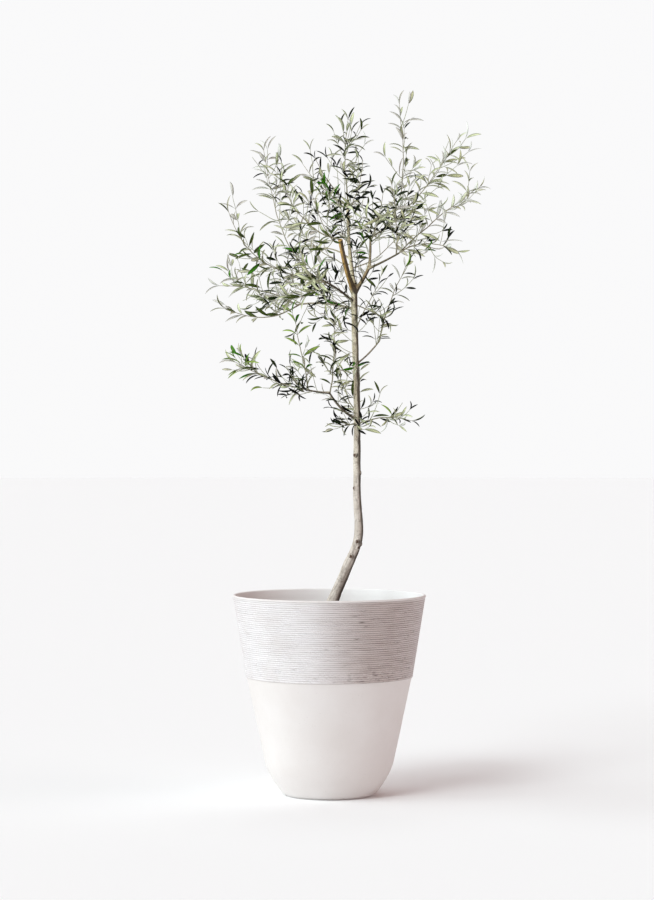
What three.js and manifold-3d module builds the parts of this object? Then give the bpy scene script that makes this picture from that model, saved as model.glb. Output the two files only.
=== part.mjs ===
// Potted olive tree: a slim leaning trunk with an open, airy crown, in a tapering pot full of soil.
// Millimetres, +Z up, +X to the right and -Y to the front. The origin is the centre of the pot's
// flat underside. A place is written [x, y, z] and an angle in degrees.
import * as THREE from "three";
import { mergeVertices } from "three/addons/utils/BufferGeometryUtils.js";
import Module from "manifold-3d";

const wasm = await Module();
wasm.setup();

// Gap between pieces that touch on the real plant, and the wider one that a limb is cut back by,
// because the flats of its neighbour lie a little inside the round
const gap = 0.3;
const limbGap = 0.39;

// Points nearer than this are one point of a solid
const mergeDistance = 1e-4;

// Pot: a thin-walled bowl whose upper part is a broad band that stands a little proud
const potHeight = 333;
const rimRadius = 160.5;
const bandHeight = 136;
const bandFootRadius = 138.5;
const bandStep = 1.2;
const bodyTaper = 0.215;
const cornerHeight = 58;
const cornerDraw = 20;
const cornerPower = 1.9;
const wall = 5;
const lipRadius = 1.6;
const potFacets = 36;
const cornerRings = [8, 20, 38];
const leastRingStep = 1;

// Soil: level round the trunk and sunk a little towards the pot's wall
const soilTop = 290;
const soilLevelRadius = 110;
const soilEdgeDrop = 5;

// Trunk: leaning from the soil to a bend, then almost upright to the fork
const trunkCourse = [
  [-14, 0, 276],
  [-8, 0, 290],
  [29, 0, 377],
  [47.5, 0, 424],
  [46, 0, 503],
  [46, 0, 640],
  [43, 0, 745],
  [41, 0, 847],
];
const trunkForkRadius = 5.4;
const trunkFootGain = 4.9;
const trunkTaperPower = 3;
const rootFlare = 7;
const rootFlareHeight = 11;
const trunkSides = 9;
const trunkSteps = 19;
const heightHalvings = 20;

// Knots: scars of pruned twigs, each at a height of the trunk and a turn about it
const knots = [
  { height: 397, turn: 262, size: 4.4 },
  { height: 422, turn: 280, size: 5 },
  { height: 510, turn: 225, size: 4 },
  { height: 565, turn: 235, size: 4.4 },
];
const knotSunkShare = 1 / 3;

// Boughs: each leaves its parent at a height of the trunk, or at a share of another bough's length,
// and runs to its tip with its middle bowed off the straight line. thick is its width at each end.
const boughs = {
  bough_leader: { on: "trunk", at: 847, to: [31, 45, 991], bow: [-3, 4, 0], thick: [7, 5.4] },
  bough_left_fork: { on: "trunk", at: 836, to: [18, -55, 919], bow: [-2, 0, -2], thick: [9.6, 7.6] },
  bough_right_fork: { on: "trunk", at: 834, to: [66, -10, 876], bow: [1, 0, -1], thick: [7.4, 5.6] },
  bough_right_upright: {
    on: "bough_right_fork", at: 1, to: [68, 15, 928], bow: [1, 0, 0], thick: [4.8, 3.8],
  },
  bough_right_arm: {
    on: "bough_right_fork", at: 0.95, to: [115, -35, 898], bow: [0, 0, -1], thick: [4, 3],
  },
  bough_crossing: {
    on: "bough_leader", at: 0.3, to: [-12, 34, 909], bow: [0, 0, 6], thick: [3, 2.4],
  },
  bough_back: { on: "trunk", at: 786, to: [38, 105, 885], bow: [0, 6, -8], thick: [5, 3.4] },
  bough_left_upper: { on: "trunk", at: 818, to: [-12, -45, 853], bow: [0, 0, 3], thick: [4.6, 3.2] },
  bough_left_arm: { on: "trunk", at: 806, to: [-54, 35, 815], bow: [0, 0, 6], thick: [4.4, 3] },
  bough_low_left: { on: "trunk", at: 624, to: [0, -20, 668], bow: [-2, 0, -5], thick: [5, 3.8] },
  bough_low_left_arm: {
    on: "bough_low_left", at: 1, to: [-38, -32, 673], bow: [0, 0, -1], thick: [3.4, 2.8],
  },
  bough_right_low: { on: "trunk", at: 715, to: [84, 45, 755], bow: [0, 0, -3], thick: [3.4, 2.6] },
};
const boughSides = 6;
const boughStepLength = 18;

// Foliage masses: each has one stem, placed as a bough is, with side shoots up to reach long.
// The stem is bare up to the share bare, and turn is the side on which the first shoot leaves it.
const masses = {
  mass_leader: {
    on: "bough_leader", at: 1, to: [31, 40, 1121], bow: [-5, 4, 0],
    bare: 0.06, shoots: 4, reach: 44, turn: 0, seed: 11,
  },
  mass_top_left: {
    on: "bough_leader", at: 0.93, to: [-43, 95, 1052], bow: [0, 0, -9],
    bare: 0.15, shoots: 3, reach: 46, turn: 40, seed: 12,
  },
  mass_top_left_high: {
    on: "bough_leader", at: 0.97, to: [-22, -20, 1051], bow: [-2, 0, -4],
    bare: 0.15, shoots: 2, reach: 36, turn: 180, seed: 13,
  },
  mass_tall_left: {
    on: "bough_left_upper", at: 1, to: [-109, 20, 1070], bow: [-11, 0, -38],
    bare: 0.16, shoots: 3, reach: 34, turn: 180, seed: 14,
  },
  mass_upper_left: {
    on: "bough_left_fork", at: 1, to: [-75, -100, 1006], bow: [-11, 0, -14],
    bare: 0.12, shoots: 3, reach: 52, turn: 0, seed: 15,
  },
  mass_far_left: {
    on: "bough_left_upper", at: 0.96, to: [-163, -90, 959], bow: [-21, 0, -23],
    bare: 0.14, shoots: 4, reach: 46, turn: 0, seed: 16,
  },
  mass_left_arm: {
    on: "bough_left_arm", at: 1, to: [-180, 55, 847], bow: [0, 0, 9],
    bare: 0.1, shoots: 4, reach: 52, turn: 180, seed: 17,
  },
  mass_left_drooping: {
    on: "bough_left_arm", at: 0.95, to: [-167, -30, 806], bow: [0, 0, -17],
    bare: 0.14, shoots: 3, reach: 38, turn: 180, seed: 18,
  },
  mass_tall_right: {
    on: "bough_right_upright", at: 1, to: [116, 25, 1147], bow: [26, 0, -42],
    bare: 0.16, shoots: 3, reach: 40, turn: 180, seed: 19,
  },
  mass_upper_right: {
    on: "bough_right_upright", at: 0.93, to: [207, -75, 1076], bow: [7, 0, -10],
    bare: 0.14, shoots: 4, reach: 48, turn: 0, seed: 20,
  },
  mass_far_right: {
    on: "bough_right_arm", at: 1, to: [250, 60, 1011], bow: [-4, 0, 2],
    bare: 0.16, shoots: 3, reach: 36, turn: 180, seed: 21,
  },
  mass_right_arm: {
    on: "bough_right_arm", at: 0.95, to: [206, -70, 901], bow: [0, 0, 14],
    bare: 0.14, shoots: 3, reach: 46, turn: 0, seed: 22,
  },
  mass_right_upright: {
    on: "bough_right_arm", at: 0.9, to: [102, -100, 1001], bow: [3, 0, 0],
    bare: 0.2, shoots: 2, reach: 44, turn: 90, seed: 23,
  },
  mass_low_left: {
    on: "bough_low_left_arm", at: 1, to: [-149, -75, 715], bow: [0, 0, -5],
    bare: 0.05, shoots: 6, reach: 34, turn: 180, seed: 24,
  },
  mass_low_left_upright: {
    on: "bough_low_left_arm", at: 0.92, to: [-60, 20, 799], bow: [1, 0, 0],
    bare: 0.12, shoots: 0, reach: 20, turn: 0, seed: 25,
  },
  mass_beside_trunk: {
    on: "bough_low_left", at: 0.97, to: [6, -55, 814], bow: [5, -5, 0],
    bare: 0.1, shoots: 2, reach: 40, turn: 0, seed: 26,
  },
  mass_behind_trunk: {
    on: "trunk", at: 624, to: [50, 85, 722], bow: [3, 12, -4],
    bare: 0.2, shoots: 2, reach: 34, turn: 180, seed: 27,
  },
  mass_low_sprig: {
    on: "trunk", at: 618, to: [12, -32, 616], bow: [0, 0, -2],
    bare: 0.3, shoots: 2, reach: 20, turn: 180, seed: 28,
  },
  mass_low_inner: {
    on: "trunk", at: 636, to: [17, 42, 705], bow: [-3, 3, -4],
    bare: 0.14, shoots: 2, reach: 36, turn: 0, seed: 44,
  },
  mass_low_right: {
    on: "trunk", at: 616, to: [133, -45, 622], bow: [0, 0, 7],
    bare: 0.2, shoots: 2, reach: 34, turn: 0, seed: 29,
  },
  mass_right_lower: {
    on: "bough_right_low", at: 1, to: [138, 80, 896], bow: [-7, 0, 0],
    bare: 0.14, shoots: 3, reach: 36, turn: 0, seed: 30,
  },
  mass_right_sprig: {
    on: "trunk", at: 762, to: [79, -45, 843], bow: [-2, -5, 3],
    bare: 0.55, shoots: 1, reach: 20, turn: 0, seed: 31,
  },
  mass_right_twig: {
    on: "trunk", at: 814, to: [94, -15, 787], bow: [0, 0, 3],
    bare: 0.35, shoots: 1, reach: 22, turn: 0, seed: 32,
  },
  mass_trunk_sprig: {
    on: "trunk", at: 700, to: [46, -32, 728], bow: [0, -4, 0],
    bare: 0.5, shoots: 0, reach: 15, turn: 0, seed: 33,
  },
  mass_front_left: {
    on: "bough_left_fork", at: 0.94, to: [-25, -185, 980], bow: [0, -8, -20],
    bare: 0.14, shoots: 3, reach: 50, turn: 0, seed: 34,
  },
  mass_front_top: {
    on: "bough_leader", at: 0.89, to: [55, -100, 1040], bow: [0, -10, -16],
    bare: 0.18, shoots: 2, reach: 44, turn: 90, seed: 35,
  },
  mass_front_right: {
    on: "bough_right_upright", at: 0.86, to: [86, -160, 984], bow: [0, -8, -12],
    bare: 0.16, shoots: 4, reach: 48, turn: 180, seed: 36,
  },
  mass_front_low: {
    on: "bough_left_upper", at: 0.93, to: [-42, -188, 872], bow: [0, -8, -10],
    bare: 0.14, shoots: 3, reach: 48, turn: 180, seed: 37,
  },
  mass_back_left: {
    on: "bough_back", at: 1, to: [-65, 195, 965], bow: [0, 10, -15],
    bare: 0.1, shoots: 3, reach: 52, turn: 0, seed: 38,
  },
  mass_back_right: {
    on: "bough_back", at: 0.95, to: [135, 190, 960], bow: [0, 10, -15],
    bare: 0.1, shoots: 3, reach: 52, turn: 180, seed: 39,
  },
  mass_back_top: {
    on: "bough_back", at: 0.9, to: [25, 150, 1040], bow: [0, 10, -10],
    bare: 0.2, shoots: 3, reach: 46, turn: 0, seed: 40,
  },
  mass_back_low: {
    on: "bough_left_arm", at: 0.89, to: [-95, 165, 868], bow: [0, 8, -10],
    bare: 0.14, shoots: 3, reach: 46, turn: 0, seed: 41,
  },
  mass_crossing: {
    on: "bough_crossing", at: 1, to: [-50, 75, 915], bow: [0, 0, 3],
    bare: 0.05, shoots: 2, reach: 44, turn: 0, seed: 42,
  },
  mass_left_middle: {
    on: "bough_left_upper", at: 0.86, to: [-62, -88, 824], bow: [0, -4, -8],
    bare: 0.1, shoots: 3, reach: 40, turn: 0, seed: 43,
  },
};
const stemRadius = 1.5;
const shootRadius = 1.1;
const tipRadius = 0.65;
const twigSides = 3;
const stemStepLength = 42;
const firstShoot = 0.2;
const lastShoot = 0.86;
const shootBare = 0.12;
const shootAngle = 48;
const shootAngleSpread = 7;
const shootTurnSpread = 30;
const shootRise = 0.18;
const shootSag = 0.4;
const lowShootScale = 1.1;
const topShootScale = 0.7;
const shootScaleRange = [0.8, 1.15];

// Leaves: slim blades in opposite pairs, each pair a quarter turn from the one below it. The low
// pairs stand off the twig and the top ones point along it.
const leafLength = 36;
const leafWidthShare = 0.22;
const leafThickness = 0.8;
const leafArch = 0.06;
const leafWidest = 0.45;
const leafKeel = 0.22;
const pairSpacing = 47;
const topPair = 0.985;
const lowLeafAngle = 60;
const topLeafAngle = 24;
const leafAnglePower = 1.5;
const leafAngleSpread = 8;
const leafTurnSpread = 12;
const firstPairSpread = 25;
const leafRollSpread = 40;
const lowLeafScale = 1.05;
const topLeafScale = 0.9;
const leafScaleRange = [0.85, 1.12];

// Room kept round a shoot or a leaf, and the share of its length at which the test of it starts
const twigClearance = 3.5;
const twigClearFrom = 0.25;
const leafClearance = 5;
const leafClearFrom = 0.15;
const crossingClearance = 1.5;
const crossingClearFrom = 0.35;
const leafBarrierRadius = 1;
const clearanceSteps = 5;

// Colours seen on the plant in daylight
const barkLook = { color: 0x9c9184, roughness: 0.9, metalness: 0 };
const leafLook = { color: 0x76845f, roughness: 0.6, metalness: 0, flatShading: true };
const potLook = { color: 0xd6d1cd, roughness: 0.85, metalness: 0 };
const soilLook = { color: 0x3e2f23, roughness: 1, metalness: 0 };

const vector = (place) => new THREE.Vector3(...place);
const mix = THREE.MathUtils.lerp;
const radians = THREE.MathUtils.degToRad;
const within = ([low, high], random) => mix(low, high, random());
const eitherWay = (spread, random) => spread * (2 * random() - 1);

// A repeatable stream of numbers from 0 to 1
function seeded(seed) {
  let state = seed * 7919;
  return () => {
    state = (Math.imul(state, 1664525) + 1013904223) >>> 0;
    return state / 4294967296;
  };
}

// Solids and meshes
function solidOf(geometry) {
  const bare = geometry.clone();
  bare.deleteAttribute("normal");
  bare.deleteAttribute("uv");
  const merged = mergeVertices(bare, mergeDistance);
  return new wasm.Manifold(new wasm.Mesh({
    numProp: 3,
    vertProperties: merged.attributes.position.array,
    triVerts: new Uint32Array(merged.index.array),
  }));
}

// Joining can leave scraps and sealed hollows: only the outside of the largest body is kept.
function largestBody(solid) {
  const bodies = solid.decompose();
  bodies.sort((a, b) => b.volume() - a.volume());
  return bodies[0];
}

function meshOf(name, solid, look) {
  const mesh = solid.getMesh();
  const geometry = new THREE.BufferGeometry();
  geometry.setAttribute("position", new THREE.BufferAttribute(mesh.vertProperties, 3));
  geometry.setIndex(new THREE.BufferAttribute(mesh.triVerts, 1));
  geometry.computeVertexNormals();
  const made = new THREE.Mesh(geometry, new THREE.MeshStandardMaterial(look));
  made.name = name;
  return made;
}

// Pot and soil
function potRadius(height) {
  const bandFoot = potHeight - bandHeight;
  if (height > bandFoot) {
    return mix(bandFootRadius, rimRadius, (height - bandFoot) / bandHeight);
  }
  const straight = bandFootRadius - bandStep - (bandFoot - height) * bodyTaper;
  const draw = Math.max(0, (cornerHeight - height) / cornerHeight);
  return straight - cornerDraw * draw ** cornerPower;
}

function wallPoints(inset, bottom, top) {
  const heights = [...cornerRings, cornerHeight, potHeight - bandHeight, soilTop - soilEdgeDrop];
  const inside = heights.filter((height) => (
    height > bottom + leastRingStep && height < top - leastRingStep
  ));
  return [bottom, ...inside, top].map((height) => (
    new THREE.Vector2(potRadius(height) - inset, height)
  ));
}

function turned(profile) {
  return new THREE.LatheGeometry(profile, potFacets).rotateX(Math.PI / 2);
}

function potMesh() {
  const bandFoot = potHeight - bandHeight;
  const below = wallPoints(0, 0, bandFoot);
  const inner = wallPoints(wall, wall, potHeight - lipRadius);
  const profile = [
    new THREE.Vector2(0, 0),
    ...below,
    new THREE.Vector2(bandFootRadius, bandFoot),
    new THREE.Vector2(rimRadius, potHeight - lipRadius),
    new THREE.Vector2(rimRadius - lipRadius, potHeight),
    new THREE.Vector2(rimRadius - wall + lipRadius, potHeight),
    ...inner.reverse(),
    new THREE.Vector2(0, wall),
  ];
  const pot = new THREE.Mesh(turned(profile), new THREE.MeshStandardMaterial(potLook));
  pot.name = "pot";
  return pot;
}

function soilMesh() {
  const bottom = wall + gap;
  const profile = [
    new THREE.Vector2(0, bottom),
    ...wallPoints(wall + gap, bottom, soilTop - soilEdgeDrop),
    new THREE.Vector2(soilLevelRadius, soilTop),
    new THREE.Vector2(0, soilTop),
  ];
  const soil = new THREE.Mesh(turned(profile), new THREE.MeshStandardMaterial(soilLook));
  soil.name = "soil";
  return soil;
}

// Limbs: a tapering round solid about a curve, with straight stretches between its rings
function makeLimb(curve, radiusAt, sides, steps) {
  return { curve, radiusAt, sides, steps, centres: curve.getSpacedPoints(steps) };
}

function pointOn(limb, share) {
  const place = share * limb.steps;
  const step = Math.min(Math.floor(place), limb.steps - 1);
  return limb.centres[step].clone().lerp(limb.centres[step + 1], place - step);
}

// The middle of such a curve lies half-way to its control point, so that is bowed twice as far.
function bowedCurve(from, to, bow) {
  const middle = from.clone().lerp(to, 0.5).addScaledVector(bow, 2);
  return new THREE.QuadraticBezierCurve3(from, middle, to);
}

// swell widens the limb all round and lengthens its tip, which makes the cutter for its neighbours.
function limbGeometry(limb, swell = 0) {
  const { curve, radiusAt, sides, steps, centres } = limb;
  const frames = curve.computeFrenetFrames(steps, false);
  const positions = [];
  for (let step = 0; step <= steps; step += 1) {
    const share = step / steps;
    const centre = centres[step].clone();
    if (step === steps) {
      centre.addScaledVector(frames.tangents[step], swell);
    }
    for (let side = 0; side < sides; side += 1) {
      const angle = (side / sides) * Math.PI * 2;
      const radius = radiusAt(share) + swell;
      const point = centre.clone()
        .addScaledVector(frames.normals[step], Math.cos(angle) * radius)
        .addScaledVector(frames.binormals[step], Math.sin(angle) * radius);
      positions.push(...point.toArray());
    }
  }
  const geometry = new THREE.BufferGeometry();
  geometry.setAttribute("position", new THREE.Float32BufferAttribute(positions, 3));
  geometry.setIndex(tubeFaces(sides, steps));
  return geometry;
}

function tubeFaces(sides, steps) {
  const faces = [];
  for (let step = 0; step < steps; step += 1) {
    for (let side = 0; side < sides; side += 1) {
      const next = (side + 1) % sides;
      const a = step * sides + side;
      const b = step * sides + next;
      faces.push(a, b, b + sides, a, b + sides, a + sides);
    }
  }
  const last = steps * sides;
  for (let side = 1; side < sides - 1; side += 1) {
    faces.push(0, side + 1, side);
    faces.push(last, last + side, last + side + 1);
  }
  return faces;
}

const limbSolid = (limb, swell) => solidOf(limbGeometry(limb, swell));

function trunkLimb() {
  const curve = new THREE.CatmullRomCurve3(trunkCourse.map(vector), false, "centripetal");
  const top = trunkCourse.at(-1)[2];
  const radiusAt = (share) => {
    const height = curve.getPointAt(share).z;
    const below = Math.min(1, (top - height) / (top - soilTop));
    const flare = rootFlare * Math.exp(-Math.max(0, height - soilTop) / rootFlareHeight);
    return trunkForkRadius + trunkFootGain * below ** trunkTaperPower + flare;
  };
  return makeLimb(curve, radiusAt, trunkSides, trunkSteps);
}

// The share of the trunk's length at which it reaches a height
function trunkShare(trunk, height) {
  let low = 0;
  let high = 1;
  for (let step = 0; step < heightHalvings; step += 1) {
    const middle = (low + high) / 2;
    if (trunk.curve.getPointAt(middle).z < height) {
      low = middle;
    } else {
      high = middle;
    }
  }
  return low;
}

function knotSolid(trunk, knot) {
  const share = trunkShare(trunk, knot.height);
  const centre = trunk.curve.getPointAt(share);
  const out = new THREE.Vector3(Math.cos(radians(knot.turn)), Math.sin(radians(knot.turn)), 0);
  centre.addScaledVector(out, trunk.radiusAt(share) - knot.size * knotSunkShare);
  const ball = new THREE.IcosahedronGeometry(knot.size, 0);
  return solidOf(ball.translate(...centre.toArray()));
}

function trunkSolid(trunk) {
  const round = wasm.Manifold.union([
    limbSolid(trunk),
    ...knots.map((knot) => knotSolid(trunk, knot)),
  ]);
  return round.trimByPlane([0, 0, 1], soilTop + gap);
}

function boughLimb(bough, limbs) {
  const parent = limbs[bough.on];
  const share = bough.on === "trunk" ? trunkShare(parent, bough.at) : bough.at;
  const curve = bowedCurve(parent.curve.getPointAt(share), vector(bough.to), vector(bough.bow));
  const radiusAt = (along) => mix(bough.thick[0], bough.thick[1], along) / 2;
  return makeLimb(curve, radiusAt, boughSides, Math.ceil(curve.getLength() / boughStepLength));
}

// A new limb is cut back to a gap from those that it springs from or starts beside.
function cutClear(solid, others) {
  const cutters = others.map((other) => limbSolid(other, limbGap));
  return largestBody(solid.subtract(wasm.Manifold.union(cutters)));
}

// Growth: where a shoot or a leaf leaves its stem. Turn 0 is to the left of an upright stem as
// seen from the front, and 90 is towards the front.
function leaving(tangent, turn, angle) {
  const left = new THREE.Vector3().crossVectors(tangent, new THREE.Vector3(0, 1, 0)).normalize();
  const front = new THREE.Vector3().crossVectors(tangent, left);
  const side = left.multiplyScalar(Math.cos(radians(turn)))
    .addScaledVector(front, Math.sin(radians(turn)));
  return side.multiplyScalar(Math.sin(radians(angle)))
    .addScaledVector(tangent, Math.cos(radians(angle)));
}

function stemLimb(mass, limbs) {
  const parent = limbs[mass.on];
  const share = mass.on === "trunk" ? trunkShare(parent, mass.at) : mass.at;
  const curve = bowedCurve(parent.curve.getPointAt(share), vector(mass.to), vector(mass.bow));
  return twigLimb(curve, stemRadius, mass.bare);
}

function twigLimb(curve, baseRadius, bare) {
  const steps = Math.max(1, Math.round(curve.getLength() / stemStepLength));
  const radiusAt = (along) => mix(baseRadius, tipRadius, along);
  return { bare, ...makeLimb(curve, radiusAt, twigSides, steps) };
}

function sideShoot(stem, mass, index, random) {
  const spread = (index + 0.5 * random()) / mass.shoots;
  const share = mix(Math.max(firstShoot, mass.bare), lastShoot, spread);
  const quarter = 90 * (Math.floor(index / 2) % 2);
  const turn = mass.turn + 180 * (index % 2) + quarter + eitherWay(shootTurnSpread, random);
  const scale = mix(lowShootScale, topShootScale, share) * within(shootScaleRange, random);
  const angle = shootAngle + eitherWay(shootAngleSpread, random);
  const length = mass.reach * scale;
  const from = pointOn(stem, share);
  const to = from.clone().addScaledVector(leaving(stem.curve.getTangentAt(share), turn, angle), length);
  to.z += length * shootRise;
  const bow = new THREE.Vector3(0, 0, -length * shootRise * shootSag);
  return twigLimb(bowedCurve(from, to, bow), shootRadius, shootBare);
}

function leafPairs(twig, random) {
  const leafy = twig.curve.getLength() * (1 - twig.bare);
  const count = Math.max(1, Math.round(leafy / pairSpacing));
  const firstTurn = eitherWay(firstPairSpread, random);
  const leaves = [];
  for (let pair = 0; pair <= count; pair += 1) {
    const along = pair / count;
    const share = mix(twig.bare, topPair, along);
    const tangent = twig.curve.getTangentAt(share);
    for (const side of [0, 180]) {
      const turn = firstTurn + side + 90 * (pair % 2) + eitherWay(leafTurnSpread, random);
      const lean = mix(lowLeafAngle, topLeafAngle, along ** leafAnglePower);
      const heading = leaving(tangent, turn, lean + eitherWay(leafAngleSpread, random));
      const scale = mix(lowLeafScale, topLeafScale, along) * within(leafScaleRange, random);
      const length = leafLength * scale;
      const roll = eitherWay(leafRollSpread, random);
      leaves.push({ root: pointOn(twig, share), heading, tangent, length, roll });
    }
  }
  return leaves;
}

// Barriers: short stretches of limbs, twigs and leaves that later growth keeps clear of
function barriersOf(limb, owner) {
  return limb.centres.slice(1).map((point, index) => ({
    owner,
    line: new THREE.Line3(limb.centres[index], point),
    radius: limb.radiusAt(index / limb.steps),
  }));
}

function leafStretch(leaf, firstShare, owner) {
  const start = leaf.root.clone().addScaledVector(leaf.heading, leaf.length * firstShare);
  const tip = leaf.root.clone().addScaledVector(leaf.heading, leaf.length);
  return { owner, line: new THREE.Line3(start, tip), radius: leafBarrierRadius };
}

function isClear(line, clearance, barriers) {
  const point = new THREE.Vector3();
  const nearest = new THREE.Vector3();
  for (let step = 0; step <= clearanceSteps; step += 1) {
    line.at(step / clearanceSteps, point);
    for (const barrier of barriers) {
      barrier.line.closestPointToPoint(point, true, nearest);
      if (nearest.distanceTo(point) < clearance + barrier.radius) {
        return false;
      }
    }
  }
  return true;
}

// One mass: its stem, its side shoots and its leaves, without those that would touch a neighbour
// or cross each other
function growMass(name, mass, stem, barriers) {
  const random = seeded(mass.seed);
  const around = barriers.filter((barrier) => barrier.owner !== name);
  const twigs = [stem];
  for (let index = 0; index < mass.shoots; index += 1) {
    const shoot = sideShoot(stem, mass, index, random);
    const outer = new THREE.Line3(pointOn(shoot, twigClearFrom), pointOn(shoot, 1));
    if (isClear(outer, twigClearance, around)) {
      twigs.push(shoot);
    }
  }
  const own = twigs.flatMap((twig) => barriersOf(twig, name));
  const leaves = [];
  for (const leaf of twigs.flatMap((twig) => leafPairs(twig, random))) {
    const outer = leafStretch(leaf, crossingClearFrom, name);
    const most = leafStretch(leaf, leafClearFrom, name);
    if (isClear(outer.line, crossingClearance, own) && isClear(most.line, leafClearance, around)) {
      leaves.push(leaf);
      own.push(outer);
    }
  }
  barriers.push(...own);
  return { twigs, leaves };
}

// A leaf blade of six faces: a root and a tip, two edges at its widest, and a keel below
function leafSolid(leaf) {
  const half = leaf.length * leafWidthShare / 2;
  const arch = leaf.length * leafArch;
  const widest = leaf.length * leafWidest;
  const keel = arch * leafKeel / leafWidest - leafThickness;
  const geometry = new THREE.BufferGeometry();
  geometry.setAttribute("position", new THREE.Float32BufferAttribute([
    0, 0, 0,
    leaf.length, 0, 0,
    widest, half, arch,
    widest, -half, arch,
    leaf.length * leafKeel, 0, keel,
  ], 3));
  geometry.setIndex([0, 3, 2, 0, 4, 3, 0, 2, 4, 1, 2, 3, 1, 3, 4, 1, 4, 2]);
  const across = new THREE.Vector3().crossVectors(leaf.tangent, leaf.heading).normalize();
  across.applyAxisAngle(leaf.heading, radians(leaf.roll));
  const upper = new THREE.Vector3().crossVectors(leaf.heading, across);
  const place = new THREE.Matrix4().makeBasis(leaf.heading, across, upper).setPosition(leaf.root);
  return solidOf(geometry.applyMatrix4(place));
}

function massSolid(grown, neighbours) {
  const fused = wasm.Manifold.union([
    ...grown.twigs.map((twig) => limbSolid(twig)),
    ...grown.leaves.map(leafSolid),
  ]);
  return cutClear(fused, neighbours);
}

// The whole plant, from the pot up
const group = new THREE.Group();
group.add(potMesh(), soilMesh());

const limbs = { trunk: trunkLimb() };
group.add(meshOf("trunk", trunkSolid(limbs.trunk), barkLook));
for (const [name, bough] of Object.entries(boughs)) {
  const limb = boughLimb(bough, limbs);
  group.add(meshOf(name, cutClear(limbSolid(limb), Object.values(limbs)), barkLook));
  limbs[name] = limb;
}

const barriers = Object.entries(limbs).flatMap(([name, limb]) => barriersOf(limb, name));
const stems = {};
for (const [name, mass] of Object.entries(masses)) {
  stems[name] = stemLimb(mass, limbs);
  barriers.push(...barriersOf(stems[name], name));
}
for (const [name, mass] of Object.entries(masses)) {
  const grown = growMass(name, mass, stems[name], barriers);
  const siblings = Object.keys(masses)
    .filter((other) => masses[other].on === mass.on && other < name);
  const neighbours = [...Object.values(limbs), ...siblings.map((other) => stems[other])];
  group.add(meshOf(name, massSolid(grown, neighbours), leafLook));
}

export default group;
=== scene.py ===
"""The looks of a potted olive tree: a pot with a finely ribbed band, its soil, the bark of the
trunk and boughs, and the twigs with their leaves.

Sizes are in millimetres, in the frame of the solids: +Z up, +X to the right and -Y to the front.
An angle is in degrees. Each mesh is scaled to metres when it is made.
"""

import itertools
import math
from collections import namedtuple
import bpy
import numpy as np
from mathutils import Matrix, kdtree


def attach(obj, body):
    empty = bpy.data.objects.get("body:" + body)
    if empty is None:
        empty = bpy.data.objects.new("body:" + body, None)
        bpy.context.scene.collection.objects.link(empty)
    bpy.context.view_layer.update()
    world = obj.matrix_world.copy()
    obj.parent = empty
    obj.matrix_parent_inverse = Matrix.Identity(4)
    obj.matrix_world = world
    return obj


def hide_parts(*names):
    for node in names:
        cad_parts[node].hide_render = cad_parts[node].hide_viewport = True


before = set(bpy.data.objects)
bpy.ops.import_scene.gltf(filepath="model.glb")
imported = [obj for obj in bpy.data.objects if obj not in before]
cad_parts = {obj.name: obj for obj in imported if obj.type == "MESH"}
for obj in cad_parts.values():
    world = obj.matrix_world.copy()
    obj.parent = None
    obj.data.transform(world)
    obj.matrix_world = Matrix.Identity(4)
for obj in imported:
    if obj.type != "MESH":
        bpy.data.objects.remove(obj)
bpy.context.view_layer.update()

MM = 0.001
BODY = "root"

# The photograph's frame, in pixels, and what it shows of the camera
PHOTO_WIDTH = 654
PHOTO_HEIGHT = 900
AXIS_PIXEL = 329.3
HORIZON_PIXEL = 400
MM_PER_PIXEL = 1.66
CAMERA_DISTANCE = 4880
CAMERA_HEIGHT = 656
SENSOR = 36

# Lights, as (angle left of the front, elevation, width, strength, tint). The studio's own light
# is a little warm, and its backdrop is as bright as the lit floor.
COOL = (0.86, 0.98, 1)
WARM = (1, 0.94, 0.93)
LIGHTS = {
    "key_low": (36, 33, 26, 0.53, COOL),
    "key_high": (60, 50, 26, 0.22, COOL),
    "window": (96, 15, 56, 0.54, COOL),
    "top": (180, 62, 50, 0.22, COOL),
    "fill": (-78, 20, 50, 0.19, WARM),
}
STUDIO_LIGHT = (0.22, 0.12, 0.11)
BACKDROP = (0.955, 0.953, 0.958)
FLOOR_RADIUS = 20000
FLOOR_HEIGHTS = (-1, -0.2)
FLOOR_COLOR = (0.96, 0.96, 0.96, 1)

# Pot: a thin-walled bowl whose upper part is a broad band that stands a little proud, and whose
# ring laps into the bowl. The heel rounds off the body's lower edge, in steps of (inwards, upwards),
# and the inner corner is (share of the floor's radius, height above the floor). The rings of a
# stretch of the wall start a little beyond the one before, and the inside's end above the floor.
POT_HEIGHT = 333
RIM_RADIUS = 160.5
BAND_HEIGHT = 136
BAND_FOOT = POT_HEIGHT - BAND_HEIGHT
BAND_FOOT_RADIUS = 138.5
BAND_STEP = 1.2
BAND_LAP = 1
BODY_TAPER = 0.215
CORNER_HEIGHT = 58
CORNER_DRAW = 20
CORNER_POWER = 1.9
WALL = 5
LIP_HEIGHT = 3.2
FOOT_HEIGHT = 2.4
FOOT_INSET = 4
FOOT_CHAMFER = (1, 0.8)
HEEL = [(1.2, 0), (0.3, 0.5)]
HEEL_HEIGHT = 1.5
INNER_CORNER = [(1, 2), (0.8, 0), (0, 0)]
CORNER_RINGS = 22
WALL_RINGS = 24
WALL_START = 4
HIDDEN_RINGS = 12
HIDDEN_START = 6
INSIDE_RINGS = 44
INSIDE_START = 2
INSIDE_END = 8
BOWL_SIDES = 256
BAND_SIDES = 384

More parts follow.
